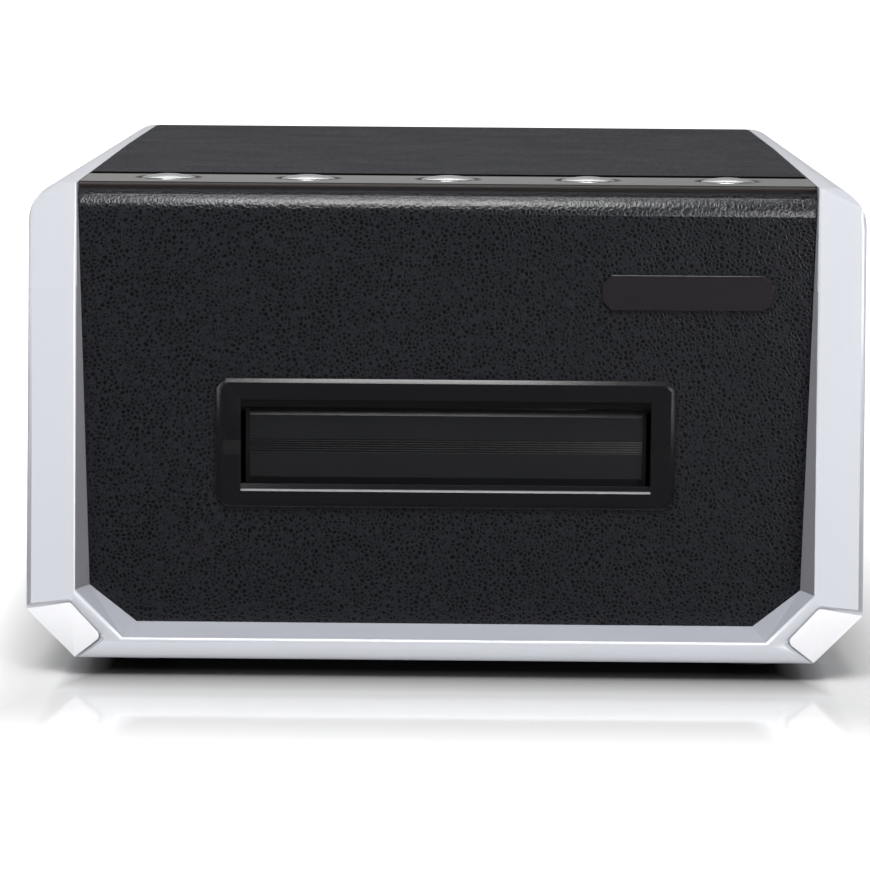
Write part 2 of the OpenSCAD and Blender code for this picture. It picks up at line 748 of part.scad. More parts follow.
module rear_panel() {
    side = window_w / 2;
    cover_foot = top_z - rear_drop;
    inner = rear_face - rear_panel_t;
    color([0.13, 0.13, 0.14]) difference() {
        union() {
            along_y(inner, rear_face) difference() {
                section(wall + fit);
                translate([-inner_x - fit, cover_foot - fit]) square([2 * (inner_x + fit), body_h]);
                translate([-inner_x - rail_wall - fit, seat_z - seat_t - fit]) square([2 * (inner_x + rail_wall + fit), body_h]);
            }
            // Tunnel from the film guide
            block([-side - tunnel_t, inner - tunnel_l, window_foot - 1.6], [side + tunnel_t, inner + past, window_top + 1.6]);
        }
        block([-side, inner - tunnel_l - past, window_foot], [side, rear_face + past, window_top]);
        rod_x(rear_pivot_y, pivot_z, door_pin_d + 0.04, -side - tunnel_t - past, side + tunnel_t + past);
        // Ports
        rod_y(inlet_x, socket_z + inlet_rise, inlet_w, inner - past, rear_face + past);
        block([socket_x - socket_w / 2 - fit, inner - past, socket_z - fit],
            [socket_x + socket_w / 2 + fit, rear_face + past, socket_z + socket_h + fit]);
        block([switch_x - switch_w / 2 - fit, inner - past, switch_z - switch_h / 2 - fit],
            [switch_x + switch_w / 2 + fit, rear_face + past, switch_z + switch_h / 2 + fit]);
    }
    // Sill that the closed rear door rests against
    color([0.13, 0.13, 0.14]) block([-side, rear_pivot_y - door_back - door_t - 1.2, window_foot - 0.2],
        [side, rear_pivot_y - door_back - door_t - clear + 0.15, door_foot + 0.7]);
}

// Barrel inlet on the edge of the main board
module power_inlet() {
    front = board_rear - inlet_l;
    axis_z = socket_z + inlet_rise;
    color([0.1, 0.1, 0.1]) difference() {
        union() {
            block([inlet_x - inlet_w / 2, front, socket_z], [inlet_x + inlet_w / 2, board_rear, socket_z + inlet_h]);
            rod_y(inlet_x, axis_z, inlet_w - 2 * fit, board_rear - past, rear_face);
        }
        rod_y(inlet_x, axis_z, inlet_bore, front + inlet_floor, rear_face + past);
    }
    color("silver") rod_y(inlet_x, axis_z, inlet_pin, front + inlet_floor - sunk, rear_face - 0.6);
}

// Square data socket on the edge of the main board
module data_socket() {
    front = board_rear - socket_l;
    half = socket_w / 2;
    color("silver") difference() {
        block([socket_x - half, front, socket_z], [socket_x + half, rear_face, socket_z + socket_h]);
        block([socket_x - half + socket_t, front + socket_floor, socket_z + socket_t],
            [socket_x + half - socket_t, rear_face + past, socket_z + socket_h - socket_t]);
    }
    color("white") block([socket_x - tongue_w / 2, front + socket_floor - sunk, socket_z + (socket_h - tongue_h) / 2],
        [socket_x + tongue_w / 2, rear_face - 1, socket_z + (socket_h + tongue_h) / 2]);
}

module switch_housing() {
    half_x = switch_w / 2;
    half_z = switch_h / 2;
    color([0.09, 0.09, 0.09]) difference() {
        union() {
            block([switch_x - half_x, rear_face - switch_l, switch_z - half_z], [switch_x + half_x, rear_face, switch_z + half_z]);
            block([switch_x - half_x - 1, rear_face, switch_z - half_z - 1], [switch_x + half_x + 1, rear_y, switch_z + half_z + 1]);
        }
        block([switch_x - half_x + 2, rear_face - 8, switch_z - half_z + 2],
            [switch_x + half_x - 2, rear_y + past, switch_z + half_z - 2]);
        rod_z(switch_x, rear_face - 3, 2 + 2 * run, switch_z - 5, switch_z + 5);
    }
}

// Rocker tilted to its off side, turning on two stub pins
module switch_rocker() {
    pivot = rear_face - 3;
    height = 4 - clear;
    color([0.16, 0.16, 0.17]) {
        translate([switch_x, pivot, switch_z]) rotate([0, 0, -8]) difference() {
            translate([-6.7, -3.4, -height]) cube([13.4, 5.6, 2 * height]);
            translate([0, 13.6, -height - past]) cylinder(r = 12, h = 2 * height + 2 * past);
        }
        rod_z(switch_x, pivot, 2, switch_z - 4.8, switch_z + 4.8);
    }
}

module foot(x, y) {
    color([0.08, 0.08, 0.08]) {
        rod_z(x, y, foot_d, 0, foot_h);
        rod_z(x, y, 5, foot_h - 0.1, foot_h + wall);
    }
}

module foot_front_left() { foot(-foot_x, -foot_y); }

module foot_front_right() { foot(foot_x, -foot_y); }

module foot_rear_left() { foot(-foot_x, foot_y); }

module foot_rear_right() { foot(foot_x, foot_y); }

module base_plate() {
    color("lightsteelblue") difference() {
        block([-base_half_w, -base_half_l, base_z], [base_half_w, base_half_l, deck_z]);
        for (place = base_screw_places) rod_z(place[0], place[1], screw_d + 0.4, base_z - past, deck_z + past);
        // Lightening holes ahead of the transport and behind it
        for (sx = [-1, 1]) rod_z(sx * base_half_w * 0.375, 12 - base_half_l, 14, base_z - past, deck_z + past);
    }
}

// A side plate with its turned foot and top, drawn at the right
module side_plate(motor_side) {
    out = plate_x + plate_t;
    color("lightsteelblue") difference() {
        union() {
            along_x(plate_x, out) difference() {
                translate([-plate_half_l, deck_z]) square([2 * plate_half_l, plate_top - deck_z]);
                // Cut-out in the middle, between the two shafts
                translate([1 - plate_cut_w / 2, deck_z + plate_flange]) square([plate_cut_w, plate_cut_h]);
            }
            block([plate_x - plate_flange, -plate_half_l, deck_z], [out, plate_half_l, deck_z + plate_t]);
            block([plate_x - plate_flange, plate_flange - plate_half_l, plate_top - plate_t], [out, plate_half_l, plate_top]);
        }
        for (y = [-shaft_y, shaft_y]) {
            rod_x(y, shaft_z, bush_d, plate_x - past, out + past);
            rod_x(y, pinch_z, pinch_shaft_d + 2 * run, plate_x - past, out + past);
        }
        if (motor_side) {
            rod_x(motor_y, motor_z, 9.4, plate_x - past, out + past);
            // The turned foot leaves room for the motor
            block([plate_x - plate_flange - past, motor_y - motor_w / 2 - 1, deck_z - past],
                [plate_x, motor_y + motor_w / 2 + 1, deck_z + plate_t + past]);
        }
        for (place = board_screw_places)
            rod_z(abs(place[0]), place[1], screw_d + 0.2, plate_top - plate_t - past, plate_top + past);
    }
}

module side_plate_right() { side_plate(true); }

module side_plate_left() { mirror([1, 0, 0]) side_plate(false); }

// Cut-outs for the tyres or rollers and for the gate, through a guide plate
module guide_cuts(low, high, roller_l) {
    block([-gate_w / 2, -gate_l / 2, low], [gate_w / 2, gate_l / 2, high]);
    for (y = [-shaft_y, shaft_y])
        both_sides() block([tyre_x - tyre_w / 2 - 1, y - roller_l / 2, low], [tyre_x + tyre_w / 2 + 1, y + roller_l / 2, high]);
}

module lower_guide() {
    out = guide_half + guide_t;
    color([0.2, 0.2, 0.22]) difference() {
        union() {
            block([-out, guide_front, floor_z - guide_t], [out, guide_rear, floor_z]);
            both_sides() block([guide_half, guide_front, floor_z - guide_t], [out, guide_rear, roof_z]);
            // Ears between the side plates
            both_sides() block([out - past, -30, floor_z - guide_t], [plate_x, 30, floor_z]);
        }
        guide_cuts(floor_z - guide_t - past, floor_z + past, tyre_d + 2);
        // Lead-in at both ends of the floor
        for (side = [0, 1]) mirror([0, side, 0]) {
            end = side == 0 ? guide_front : -guide_rear;
            translate([0, end, floor_z]) rotate([25, 0, 0]) block([-guide_half, -5, -0.6], [guide_half, 0, 3]);
        }
    }
}

module upper_guide() {
    out = guide_half + guide_t;
    color([0.2, 0.2, 0.22]) difference() {
        block([-out, roof_front, roof_z], [out, guide_rear, roof_z + guide_t]);
        guide_cuts(roof_z - past, roof_z + guide_t + past, pinch_d + 2);
    }
}

module front_shaft() {
    color("silver") rod_x(-shaft_y, shaft_z, shaft_d, -plate_x - plate_t - pulley_w - 2, gear_x + gear_w + 2);
}

module rear_shaft() {
    color("silver") rod_x(shaft_y, shaft_z, shaft_d, -plate_x - plate_t - pulley_w - 2, plate_x + plate_t + 3);
}

module tyres(y) {
    color([0.07, 0.07, 0.07]) both_sides() difference() {
        rod_x(y, shaft_z, tyre_d, tyre_x - tyre_w / 2, tyre_x + tyre_w / 2);
        rod_x(y, shaft_z, shaft_d + 0.04, tyre_x - tyre_w, tyre_x + tyre_w);
    }
}

module front_tyres() { tyres(-shaft_y); }

module rear_tyres() { tyres(shaft_y); }

module shaft_bushes() {
    color("goldenrod") for (y = [-shaft_y, shaft_y]) both_sides() difference() {
        union() {
            rod_x(y, shaft_z, bush_d - 0.1, plate_x - 1, plate_x + plate_t);
            rod_x(y, shaft_z, bush_d + 2, plate_x - 1, plate_x);
        }
        rod_x(y, shaft_z, shaft_d + 2 * run, plate_x - bush_l, plate_x + bush_l);
    }
}

// A pinch roller moulded in one with its shaft
module pinch_roller(y) {
    reach = plate_x + plate_t;
    color([0.85, 0.85, 0.82]) {
        rod_x(y, pinch_z, pinch_shaft_d, -reach, reach);
        both_sides() rod_x(y, pinch_z, pinch_d, tyre_x - tyre_w / 2, tyre_x + tyre_w / 2);
    }
}

module front_pinch_roller() { pinch_roller(-shaft_y); }

module rear_pinch_roller() { pinch_roller(shaft_y); }

// Point of an involute flank at a radius, turned by half the tooth's width at the pitch circle
function flank_point(r, base_r, half_angle, pitch_roll) =
    let (t = r <= base_r ? 0 : sqrt(pow(r / base_r, 2) - 1) * 180 / PI - acos(base_r / r))
    [r * cos(half_angle + pitch_roll - t), r * sin(half_angle + pitch_roll - t)];

// A spur gear with involute teeth, one tooth pointing along +X
module gear_outline(teeth, backlash) {
    pressure = 20;
    pitch_r = teeth * gear_module / 2;
    base_r = pitch_r * cos(pressure);
    root_r = pitch_r - 1.2 * gear_module;
    tip_r = pitch_r + 0.8 * gear_module;
    half_angle = 90 / teeth - backlash / 2 / pitch_r * 180 / PI;
    pitch_roll = (tan(pressure) * 180 / PI) - pressure;
    low = max(root_r, base_r);
    radii = [root_r, low + 0.02, (low + pitch_r) / 2 + 0.1, (pitch_r + tip_r) / 2, tip_r];
    flank = [for (r = radii) flank_point(r, base_r, half_angle, pitch_roll)];
    tooth = concat([for (i = [0:4]) [flank[i][0], -flank[i][1]]], [for (i = [0:4]) flank[4 - i]]);
    polygon([for (k = [0:teeth - 1]) for (p = tooth) let (a = 360 * k / teeth)
        [p[0] * cos(a) - p[1] * sin(a), p[0] * sin(a) + p[1] * cos(a)]]);
}

module drive_gear() {
    backlash = 0.12;
    color("ivory") difference() {
        union() {
            translate([0, -shaft_y, shaft_z]) along_x(gear_x, gear_x + gear_w) rotate(mesh_angle) gear_outline(gear_teeth, backlash);
            rod_x(-shaft_y, shaft_z, shaft_d + 7, gear_x - 0.7, gear_x + gear_w + 1.5);
        }
        rod_x(-shaft_y, shaft_z, shaft_d + 0.04, gear_x - 2 * past, gear_x + gear_w + 3);
        for (k = [0:4]) translate([0, -shaft_y, shaft_z]) rotate([72 * k, 0, 0])
            rod_x(0, gear_r * 0.62, gear_r * 0.38, gear_x - past, gear_x + gear_w + past);
    }
}

// Motor shaft with its pinion, whose tooth gap faces the drive gear's tooth
module motor_pinion() {
    backlash = 0.12;
    turn = mesh_angle + 180 + 180 / pinion_teeth;
    color("goldenrod") {
        translate([0, motor_y, motor_z]) along_x(gear_x - 0.3, gear_x + gear_w + 0.3) rotate(turn) gear_outline(pinion_teeth, backlash);
        rod_x(motor_y, motor_z, 3, plate_x - 4, gear_x + gear_w + 0.3);
    }
}

module motor() {
    half = motor_w / 2;
    color("dimgray") difference() {
        union() {
            translate([0, motor_y, motor_z]) along_x(plate_x - motor_l, plate_x) cut_rectangle(motor_w, motor_w, 3);
            rod_x(motor_y, motor_z, 9, plate_x - past, plate_x + 1.5);
        }
        rod_x(motor_y, motor_z, 3 + 2 * run, plate_x - 4.5, plate_x + 2);
        // Bands between the end caps and the laminated middle
        for (x = [plate_x - motor_l + 8, plate_x - 8.5])
            difference() {
                block([x, motor_y - half - past, motor_z - half - past], [x + 0.5, motor_y + half + past, motor_z + half + past]);
                translate([0, motor_y, motor_z]) along_x(x - past, x + 1.5) cut_rectangle(motor_w - 1, motor_w - 1, 3);
            }
    }
}

module pulley(y) {
    out = -plate_x - plate_t - 1;
    flange = (pulley_w - belt_w - 0.6) / 2;
    color("ivory") difference() {
        union() {
            rod_x(y, shaft_z, pulley_d, out - pulley_w, out);
            rod_x(y, shaft_z, pulley_d + 2 * (belt_t + flange_over), out - flange, out);
            rod_x(y, shaft_z, pulley_d + 2 * (belt_t + flange_over), out - pulley_w, out - pulley_w + flange);
        }
        rod_x(y, shaft_z, shaft_d + 0.04, out - pulley_w - past, out + past);
    }
}

module front_pulley() { pulley(-shaft_y); }

module rear_pulley() { pulley(shaft_y); }

// Outline of a belt round both pulleys, at a radius
module belt_outline(r) {
    for (y = [-shaft_y, shaft_y]) translate([y, shaft_z]) circle(r = r);
    translate([-shaft_y, shaft_z - r]) square([2 * shaft_y, 2 * r]);
}

module belt() {
    middle = -plate_x - plate_t - 1 - pulley_w / 2;
    inner = pulley_d / 2 + belt_gap;
    color([0.1, 0.1, 0.1]) along_x(middle - belt_w / 2, middle + belt_w / 2) difference() {
        belt_outline(inner + belt_t);
        belt_outline(inner);
    }
}

module lamp_housing() {
    half_x = gate_w / 2 + lamp_rim;
    half_y = gate_l / 2 + lamp_rim;
    foot = roof_z + guide_t;
    color([0.9, 0.9, 0.88]) difference() {
        block([-half_x, -half_y, foot], [half_x, half_y, foot + lamp_h]);
        block([-half_x + 1.5, -half_y + 1.5, foot - past], [half_x - 1.5, half_y - 1.5, foot + lamp_h - 5]);
        block([-half_x + 3.5, -half_y + 3.5, foot + lamp_h - 6], [half_x - 3.5, half_y - 3.5, foot + lamp_h - 1.5]);
    }
}

module lamp_board() {
    half_x = gate_w / 2 + 3.5 - fit;
    half_y = gate_l / 2 + 3.5 - fit;
    top = roof_z + guide_t + lamp_h - 5;
    color("seagreen") block([-half_x, -half_y, top - board_t], [half_x, half_y, top]);
    color("khaki") for (x = [-12:8:12]) for (y = [-6:6:6])
        block([x - 1.7, y - 1.7, top - board_t - 1], [x + 1.7, y + 1.7, top - board_t + 0.1]);
}

module diffuser() {
    foot = roof_z + guide_t;
    color("white") block([-gate_w / 2 - 3, -gate_l / 2 - 3, foot], [gate_w / 2 + 3, gate_l / 2 + 3, foot + 2]);
}

module mirror_plate() {
    color("skyblue") translate([0, 0, optic_z]) rotate([-45, 0, 0]) translate([-16, -15, -2]) cube([32, 30, 2]);
}

module mirror_bracket() {
    sheet = 1.5;
    back = (2 + sheet) * sqrt(2);
    color("lightsteelblue") {
        translate([0, 0, optic_z]) rotate([-45, 0, 0]) translate([-17, -16, -2 - sheet]) cube([34, 31, sheet]);
        block([-17, -20, deck_z], [17, 14, deck_z + sheet]);
        both_sides() along_x(17 - sheet, 17)
            polygon([[-16, deck_z + 1], [8, deck_z + 1], [8, optic_z - 8 - back + 1], [-13, optic_z + 13 - back + 1], [-16, optic_z + 13 - back + 1]]);
    }
}

module lens_barrel() {
    color([0.12, 0.12, 0.12]) difference() {
        union() {
            rod_y(0, optic_z, lens_d, lens_y, lens_y + lens_l);
            rod_y(0, optic_z, lens_d + 2, lens_y, lens_y + 4);
        }
        rod_y(0, optic_z, lens_d - 5, lens_y - past, lens_y + 3);
        rod_y(0, optic_z, lens_d - 8, lens_y + 2, lens_y + lens_l - 2);
        rod_y(0, optic_z, lens_d - 5, lens_y + lens_l - 3, lens_y + lens_l + past);
    }
}

module lens_glass() {
    color("lightcyan") for (y = [lens_y + 0.8, lens_y + lens_l - 3])
        rod_y(0, optic_z, lens_d - 5.2, y, y + 2.2);
}

module lens_mount() {
    front = lens_y + 9;
    color("dimgray") difference() {
        block([-lens_d / 2 - 4, front, deck_z], [lens_d / 2 + 4, front + 12, optic_z + lens_d / 2 + 3]);
        rod_y(0, optic_z, lens_d + 0.1, front - past, front + 13);
    }
}

module sensor_board() {
    chip_h = sensor_chip_w / 4;
    face = sensor_y - board_t;
    color("seagreen") block([-sensor_half_w, face, deck_z], [sensor_half_w, sensor_y, optic_z + sensor_over]);
    color("dimgray") block([-sensor_chip_w, face - 3, optic_z - chip_h], [sensor_chip_w, face + 0.1, optic_z + chip_h]);
    color("lightsteelblue") block([-sensor_half_w, sensor_y - sunk, deck_z], [sensor_half_w, sensor_y + 1.2, deck_z + sensor_foot]);
}

// A part standing on the main board, by its middle
module on_board(x, y, w, l, h) {
    translate([x - w / 2, y - l / 2, board_top - sunk]) cube([w, l, h + sunk]);
}

module main_board() {
    color("seagreen") difference() {
        block([-board_half, board_front, board_deck], [board_half, board_rear, board_top]);
        for (place = board_screw_places) rod_z(place[0], place[1], screw_d + 0.2, board_deck - past, board_top + past);
        // Room for the rocker switch
        block([switch_x - switch_w / 2 - 2, rear_face - switch_l - 1, board_deck - past],
            [switch_x + switch_w / 2 + 2, board_rear + past, board_top + past]);
    }
    color([0.15, 0.15, 0.15]) {
        on_board(-2, 22, chip_w, chip_w, chip_t);
        on_board(board_half / 2, 36, driver_w, driver_l, flat_t);
        on_board(-board_half / 2, -7, driver_w, memory_l, flat_t);
    }
    color("white") {
        on_board(board_half / 2, -27, header_w, header_l, header_h);
        on_board(-board_half / 2, 63, header_w, header_l, header_h);
    }
    color("slategray") for (i = [0:2])
        rod_z(-can_pitch, board_rear - 28 - i * can_pitch, can_d, board_top - sunk, board_top + can_h);
}

module button_board() {
    low = key_board_z;
    high = key_board_z + board_t;
    switch_top = seat_z - clear - flange_t - stem_l - button_travel - clear;
    color("seagreen") difference() {
        block([-2 * button_pitch - key_board_rim, button_y - key_board_rim, low],
            [2 * button_pitch + key_board_rim, button_y + key_board_rim, high]);
        for (place = post_places) rod_z(place[0], place[1], screw_d + 0.4, low - past, high + past);
    }
    color([0.1, 0.1, 0.1]) for (i = [-2:2]) {
        x = i * button_pitch;
        block([x - key_w / 2, button_y - key_w / 2, high - sunk], [x + key_w / 2, button_y + key_w / 2, switch_top - 1]);
        rod_z(x, button_y, 3.4, switch_top - 1.2, switch_top);
    }
}

// A pan head screw standing on its head's seat, driven down or up
module screw(x, y, seat, length, up) {
    translate([x, y, seat]) mirror([0, 0, up ? 1 : 0]) {
        cylinder(d = screw_head_d, h = screw_head_h);
        translate([0, 0, -length]) cylinder(d = screw_d, h = length + 0.5);
    }
}

module base_screws() {
    color("silver") for (place = base_screw_places) screw(place[0], place[1], deck_z, base_screw_l, false);
}

module board_screws() {
    color("silver") {
        for (place = board_screw_places) screw(place[0], place[1], board_top, board_screw_l, false);
        for (place = post_places) screw(place[0], place[1], key_board_z, key_screw_l, true);
    }
}

housing();
corner_pad_left();
corner_pad_right();
front_cover();
control_strip();
top_cover();
button_1();
button_2();
button_3();
button_4();
button_5();
slot_bezel();
slot_door();
slot_door_pin();
slot_door_spring();
label_plate();
rear_panel();
rear_door();
rear_door_pin();
rear_door_spring();
power_inlet();
data_socket();
switch_housing();
switch_rocker();
foot_front_left();
foot_front_right();
foot_rear_left();
foot_rear_right();
base_plate();
side_plate_left();
side_plate_right();
lower_guide();
upper_guide();
front_shaft();
rear_shaft();
front_tyres();
rear_tyres();
shaft_bushes();
front_pinch_roller();
rear_pinch_roller();
motor();
motor_pinion();
drive_gear();
front_pulley();
rear_pulley();
belt();
lamp_housing();
lamp_board();
diffuser();
mirror_plate();  // mirror
mirror_bracket();
lens_barrel();
lens_glass();
lens_mount();
sensor_board();
main_board();
button_board();
base_screws();
board_screws();
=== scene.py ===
import json
import math
import bpy
from mathutils import Matrix, Vector


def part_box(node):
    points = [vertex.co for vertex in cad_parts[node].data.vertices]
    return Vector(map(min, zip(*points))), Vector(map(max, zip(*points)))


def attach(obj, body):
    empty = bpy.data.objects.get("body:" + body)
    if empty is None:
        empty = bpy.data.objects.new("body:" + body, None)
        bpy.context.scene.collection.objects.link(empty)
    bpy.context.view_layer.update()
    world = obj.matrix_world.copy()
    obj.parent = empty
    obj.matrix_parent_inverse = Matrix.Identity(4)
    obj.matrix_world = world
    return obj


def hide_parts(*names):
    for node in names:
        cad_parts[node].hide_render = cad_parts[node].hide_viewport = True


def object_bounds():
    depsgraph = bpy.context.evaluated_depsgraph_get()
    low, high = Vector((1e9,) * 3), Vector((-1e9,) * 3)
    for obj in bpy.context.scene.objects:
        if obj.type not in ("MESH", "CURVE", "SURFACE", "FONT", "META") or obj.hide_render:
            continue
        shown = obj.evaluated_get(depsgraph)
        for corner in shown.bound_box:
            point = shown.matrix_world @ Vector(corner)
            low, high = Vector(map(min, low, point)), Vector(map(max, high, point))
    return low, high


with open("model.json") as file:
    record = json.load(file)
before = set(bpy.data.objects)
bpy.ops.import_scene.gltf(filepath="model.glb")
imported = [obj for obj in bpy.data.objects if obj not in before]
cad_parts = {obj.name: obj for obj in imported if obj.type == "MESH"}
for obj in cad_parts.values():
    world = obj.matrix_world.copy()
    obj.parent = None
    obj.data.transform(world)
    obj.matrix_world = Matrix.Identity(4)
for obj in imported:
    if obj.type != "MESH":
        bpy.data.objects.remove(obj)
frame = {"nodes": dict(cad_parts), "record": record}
nodes = frame["nodes"]
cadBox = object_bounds()
cadBox = [list(map(float, corner)) for corner in cadBox]
print("Frame loaded:", len(nodes), "nodes")


# Camera, low in front of the scanner and looking slightly down

camera = {
    "place": (0.0040, -0.9567, 0.1568),
    "pitch": 7.241,
    "yaw": 0.429,
    "roll": 0.430,
    "lens": 166.1,
    "sensor": 36,
    "clip": (0.01, 60),
}


def addCamera(view):
    turn = (Matrix.Rotation(math.radians(view["yaw"]), 3, "Z")
            @ Matrix.Rotation(math.radians(90 - view["pitch"]), 3, "X")
            @ Matrix.Rotation(math.radians(view["roll"]), 3, "Z"))
    bpy.ops.object.camera_add(location=view["place"], rotation=turn.to_euler())
    eye = bpy.context.object
    eye.name = "camera"
    eye.data.lens = view["lens"]
    eye.data.sensor_width = view["sensor"]
    eye.data.clip_start, eye.data.clip_end = view["clip"]
    bpy.context.scene.camera = eye


addCamera(camera)
print("Camera placed")


# Helpers for pieces

# Two places nearer than these count as one, and faces within flatAngle degrees are joined
weldGap = 0.000002
hair = 0.000005
close = 0.00001
flatAngle = 0.4


def deselectAll():
    if bpy.context.object and bpy.context.object.mode != "OBJECT":
        bpy.ops.object.mode_set(mode="OBJECT")
    bpy.ops.object.select_all(action="DESELECT")


def pick(piece):
    deselectAll()
    piece.select_set(True)
    bpy.context.view_layer.objects.active = piece


def openEdit(piece):
    # Enters edit mode with the whole piece selected
    pick(piece)
    bpy.ops.object.mode_set(mode="EDIT")
    bpy.ops.mesh.select_all(action="SELECT")


def leaveEdit():
    bpy.ops.mesh.select_all(action="DESELECT")
    bpy.ops.object.mode_set(mode="OBJECT")


def copyNode(node, name):
    # A welded copy of a CAD node, with its flat faces joined
    pick(nodes[node])
    bpy.ops.object.duplicate()
    piece = bpy.context.object
    piece.parent = None
    piece.name = name
    piece.data.name = name
    for key in list(piece.keys()):
        if key.startswith("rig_"):
            del piece[key]
    openEdit(piece)
    bpy.ops.mesh.remove_doubles(threshold=weldGap)
    bpy.ops.mesh.dissolve_limited(angle_limit=math.radians(flatAngle), delimit=set())
    leaveEdit()
    return piece


def cutAcross(piece, y):
    # Cuts every face that crosses this depth
    openEdit(piece)
    bpy.ops.mesh.bisect(plane_co=(0, y, 0), plane_no=(0, 1, 0))
    leaveEdit()


def softenEdges(piece, width, segments=3, angle=25, flat=0.0003):
    # Rounds every edge that is sharper than an angle
    pick(piece)
    bevel = piece.modifiers.new("soften", "BEVEL")
    bevel.width = width
    bevel.segments = segments
    bevel.angle_limit = math.radians(angle)
    bevel.miter_outer = "MITER_ARC"
    bpy.ops.object.modifier_apply(modifier=bevel.name)
    keepFlat(piece, flat)
    smoothFaces(piece)


def smoothFaces(piece, angle=32):
    pick(piece)
    bpy.ops.object.shade_smooth_by_angle(angle=math.radians(angle))


def clearSelection(mesh):
    for group in (mesh.vertices, mesh.edges, mesh.polygons):
        group.foreach_set("select", [False] * len(group))


def selectFaces(piece, wanted):
    # Selects, in edit mode, the faces picked by a test
    pick(piece)
    bpy.context.tool_settings.mesh_select_mode = (False, False, True)
    clearSelection(piece.data)
    for face in piece.data.polygons:
        face.select = wanted(face)
    bpy.ops.object.mode_set(mode="EDIT")


def selectEdges(piece, wanted):
    # Selects, in edit mode, the edges picked by a test on both ends and the angle between the faces
    pick(piece)
    mesh = piece.data
    faceAngles = edgeAngles(mesh)
    bpy.context.tool_settings.mesh_select_mode = (False, True, False)
    clearSelection(mesh)
    count = 0
    for edge in mesh.edges:
        a, b = (mesh.vertices[v].co for v in edge.vertices)
        if wanted(a, b, faceAngles.get(edge.key, 0)):
            edge.select = True
            count += 1
    bpy.ops.object.mode_set(mode="EDIT")
    return count


def keepFlat(piece, area, curved=lambda face: False):
    # Keeps the outline of each large face crisp, so that the face stays evenly shaded
    selectFaces(piece, lambda face: face.area > area and not curved(face))
    bpy.ops.mesh.mark_sharp()
    leaveEdit()


def roundEdges(piece, width, segments, wanted):
    count = selectEdges(piece, wanted)
    if count:
        bpy.ops.mesh.bevel(offset=width, segments=segments, affect="EDGES",
                           clamp_overlap=False, miter_outer="ARC")
    leaveEdit()
    return count


def sharpenEdges(piece, wanted):
    # Keeps the picked edges crisp, so that a large flat face stays evenly shaded
    if selectEdges(piece, wanted):
        bpy.ops.mesh.mark_sharp()
    leaveEdit()


def edgeAngles(mesh):
    sides = {}
    for face in mesh.polygons:
        for key in face.edge_keys:
            sides.setdefault(key, []).append(face.normal)
    pairs = {key: pair for key, pair in sides.items() if len(pair) == 2}
    return {key: math.degrees(pair[0].angle(pair[1], 0)) for key, pair in pairs.items()}


def setMaterial(piece, material):
    piece.data.materials.clear()
    piece.data.materials.append(material)


def finishPiece(piece, body, slot, material, *replaced):
    setMaterial(piece, material)
    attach(piece, body)
    if replaced:
        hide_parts(*replaced)


# Helpers for materials

def newMaterial(name, colour, roughness, metallic=0.0, specular=0.5,
                coat=0.0, coatRoughness=0.1):
    material = bpy.data.materials.new(name)
    material.use_nodes = True
    shader = material.node_tree.nodes["Principled BSDF"]
    shader.inputs["Base Color"].default_value = (*colour, 1)
    shader.inputs["Roughness"].default_value = roughness
    shader.inputs["Metallic"].default_value = metallic
    shader.inputs["Specular IOR Level"].default_value = specular
    shader.inputs["Coat Weight"].default_value = coat
    shader.inputs["Coat Roughness"].default_value = coatRoughness
    return material


def addNode(owner, kind, **values):
    # Adds a node to a material or a world. A value sets an input, or else a property
    node = owner.node_tree.nodes.new(kind)
    for key, value in values.items():
        if key in node.inputs.keys():
            node.inputs[key].default_value = value
        else:
            setattr(node, key, value)
    return node


def join(owner, source, output, target, entry):
    owner.node_tree.links.new(source.outputs[output], target.inputs[entry])


def shaderOf(material):
    return material.node_tree.nodes["Principled BSDF"]


def noiseAt(material, place, size, detail):
    noise = addNode(material, "ShaderNodeTexNoise", Scale=size, Detail=detail)
    join(material, place, "Vector", noise, "Vector")
    return noise


def objectPlace(material):
    place = addNode(material, "ShaderNodeTexCoord")
    mapping = addNode(material, "ShaderNodeMapping")
    join(material, place, "Object", mapping, "Vector")
    return mapping


def spread(owner, source, output, low, high, fromLow=0.0, fromHigh=1.0):
    # Maps a value from one range to another
    ranged = addNode(owner, "ShaderNodeMapRange")
    ranged.inputs["From Min"].default_value = fromLow
    ranged.inputs["From Max"].default_value = fromHigh
    ranged.inputs["To Min"].default_value = low
    ranged.inputs["To Max"].default_value = high
    join(owner, source, output, ranged, "Value")
    return ranged


def shaded(colour, share):
    return tuple(min(c * share, 1) for c in colour)


def roughenBy(material, source, roughness, low, high):
    # Lets the roughness vary between two shares of itself
    rough = spread(material, source, "Fac", roughness * low, roughness * high)
    join(material, rough, "Result", shaderOf(material), "Roughness")


def tint(material, source, output, low, high):
    # Colours the base between two colours by a value
    ramp = addNode(material, "ShaderNodeValToRGB")
    ramp.color_ramp.elements[0].color = (*low, 1)
    ramp.color_ramp.elements[1].color = (*high, 1)
    join(material, source, output, ramp, "Fac")
    join(material, ramp, "Color", shaderOf(material), "Base Color")


def addBump(material, source, output, strength, distance):
    bump = addNode(material, "ShaderNodeBump", Strength=strength, Distance=distance)
    join(material, source, output, bump, "Height")
    join(material, bump, "Normal", shaderOf(material), "Normal")


mouldedGrain = {
    "detail": 2.0,
    "cloud": (38.0, 3.0),
    "gloss": (0.85, 1.15),
    "bump": 0.3,
}


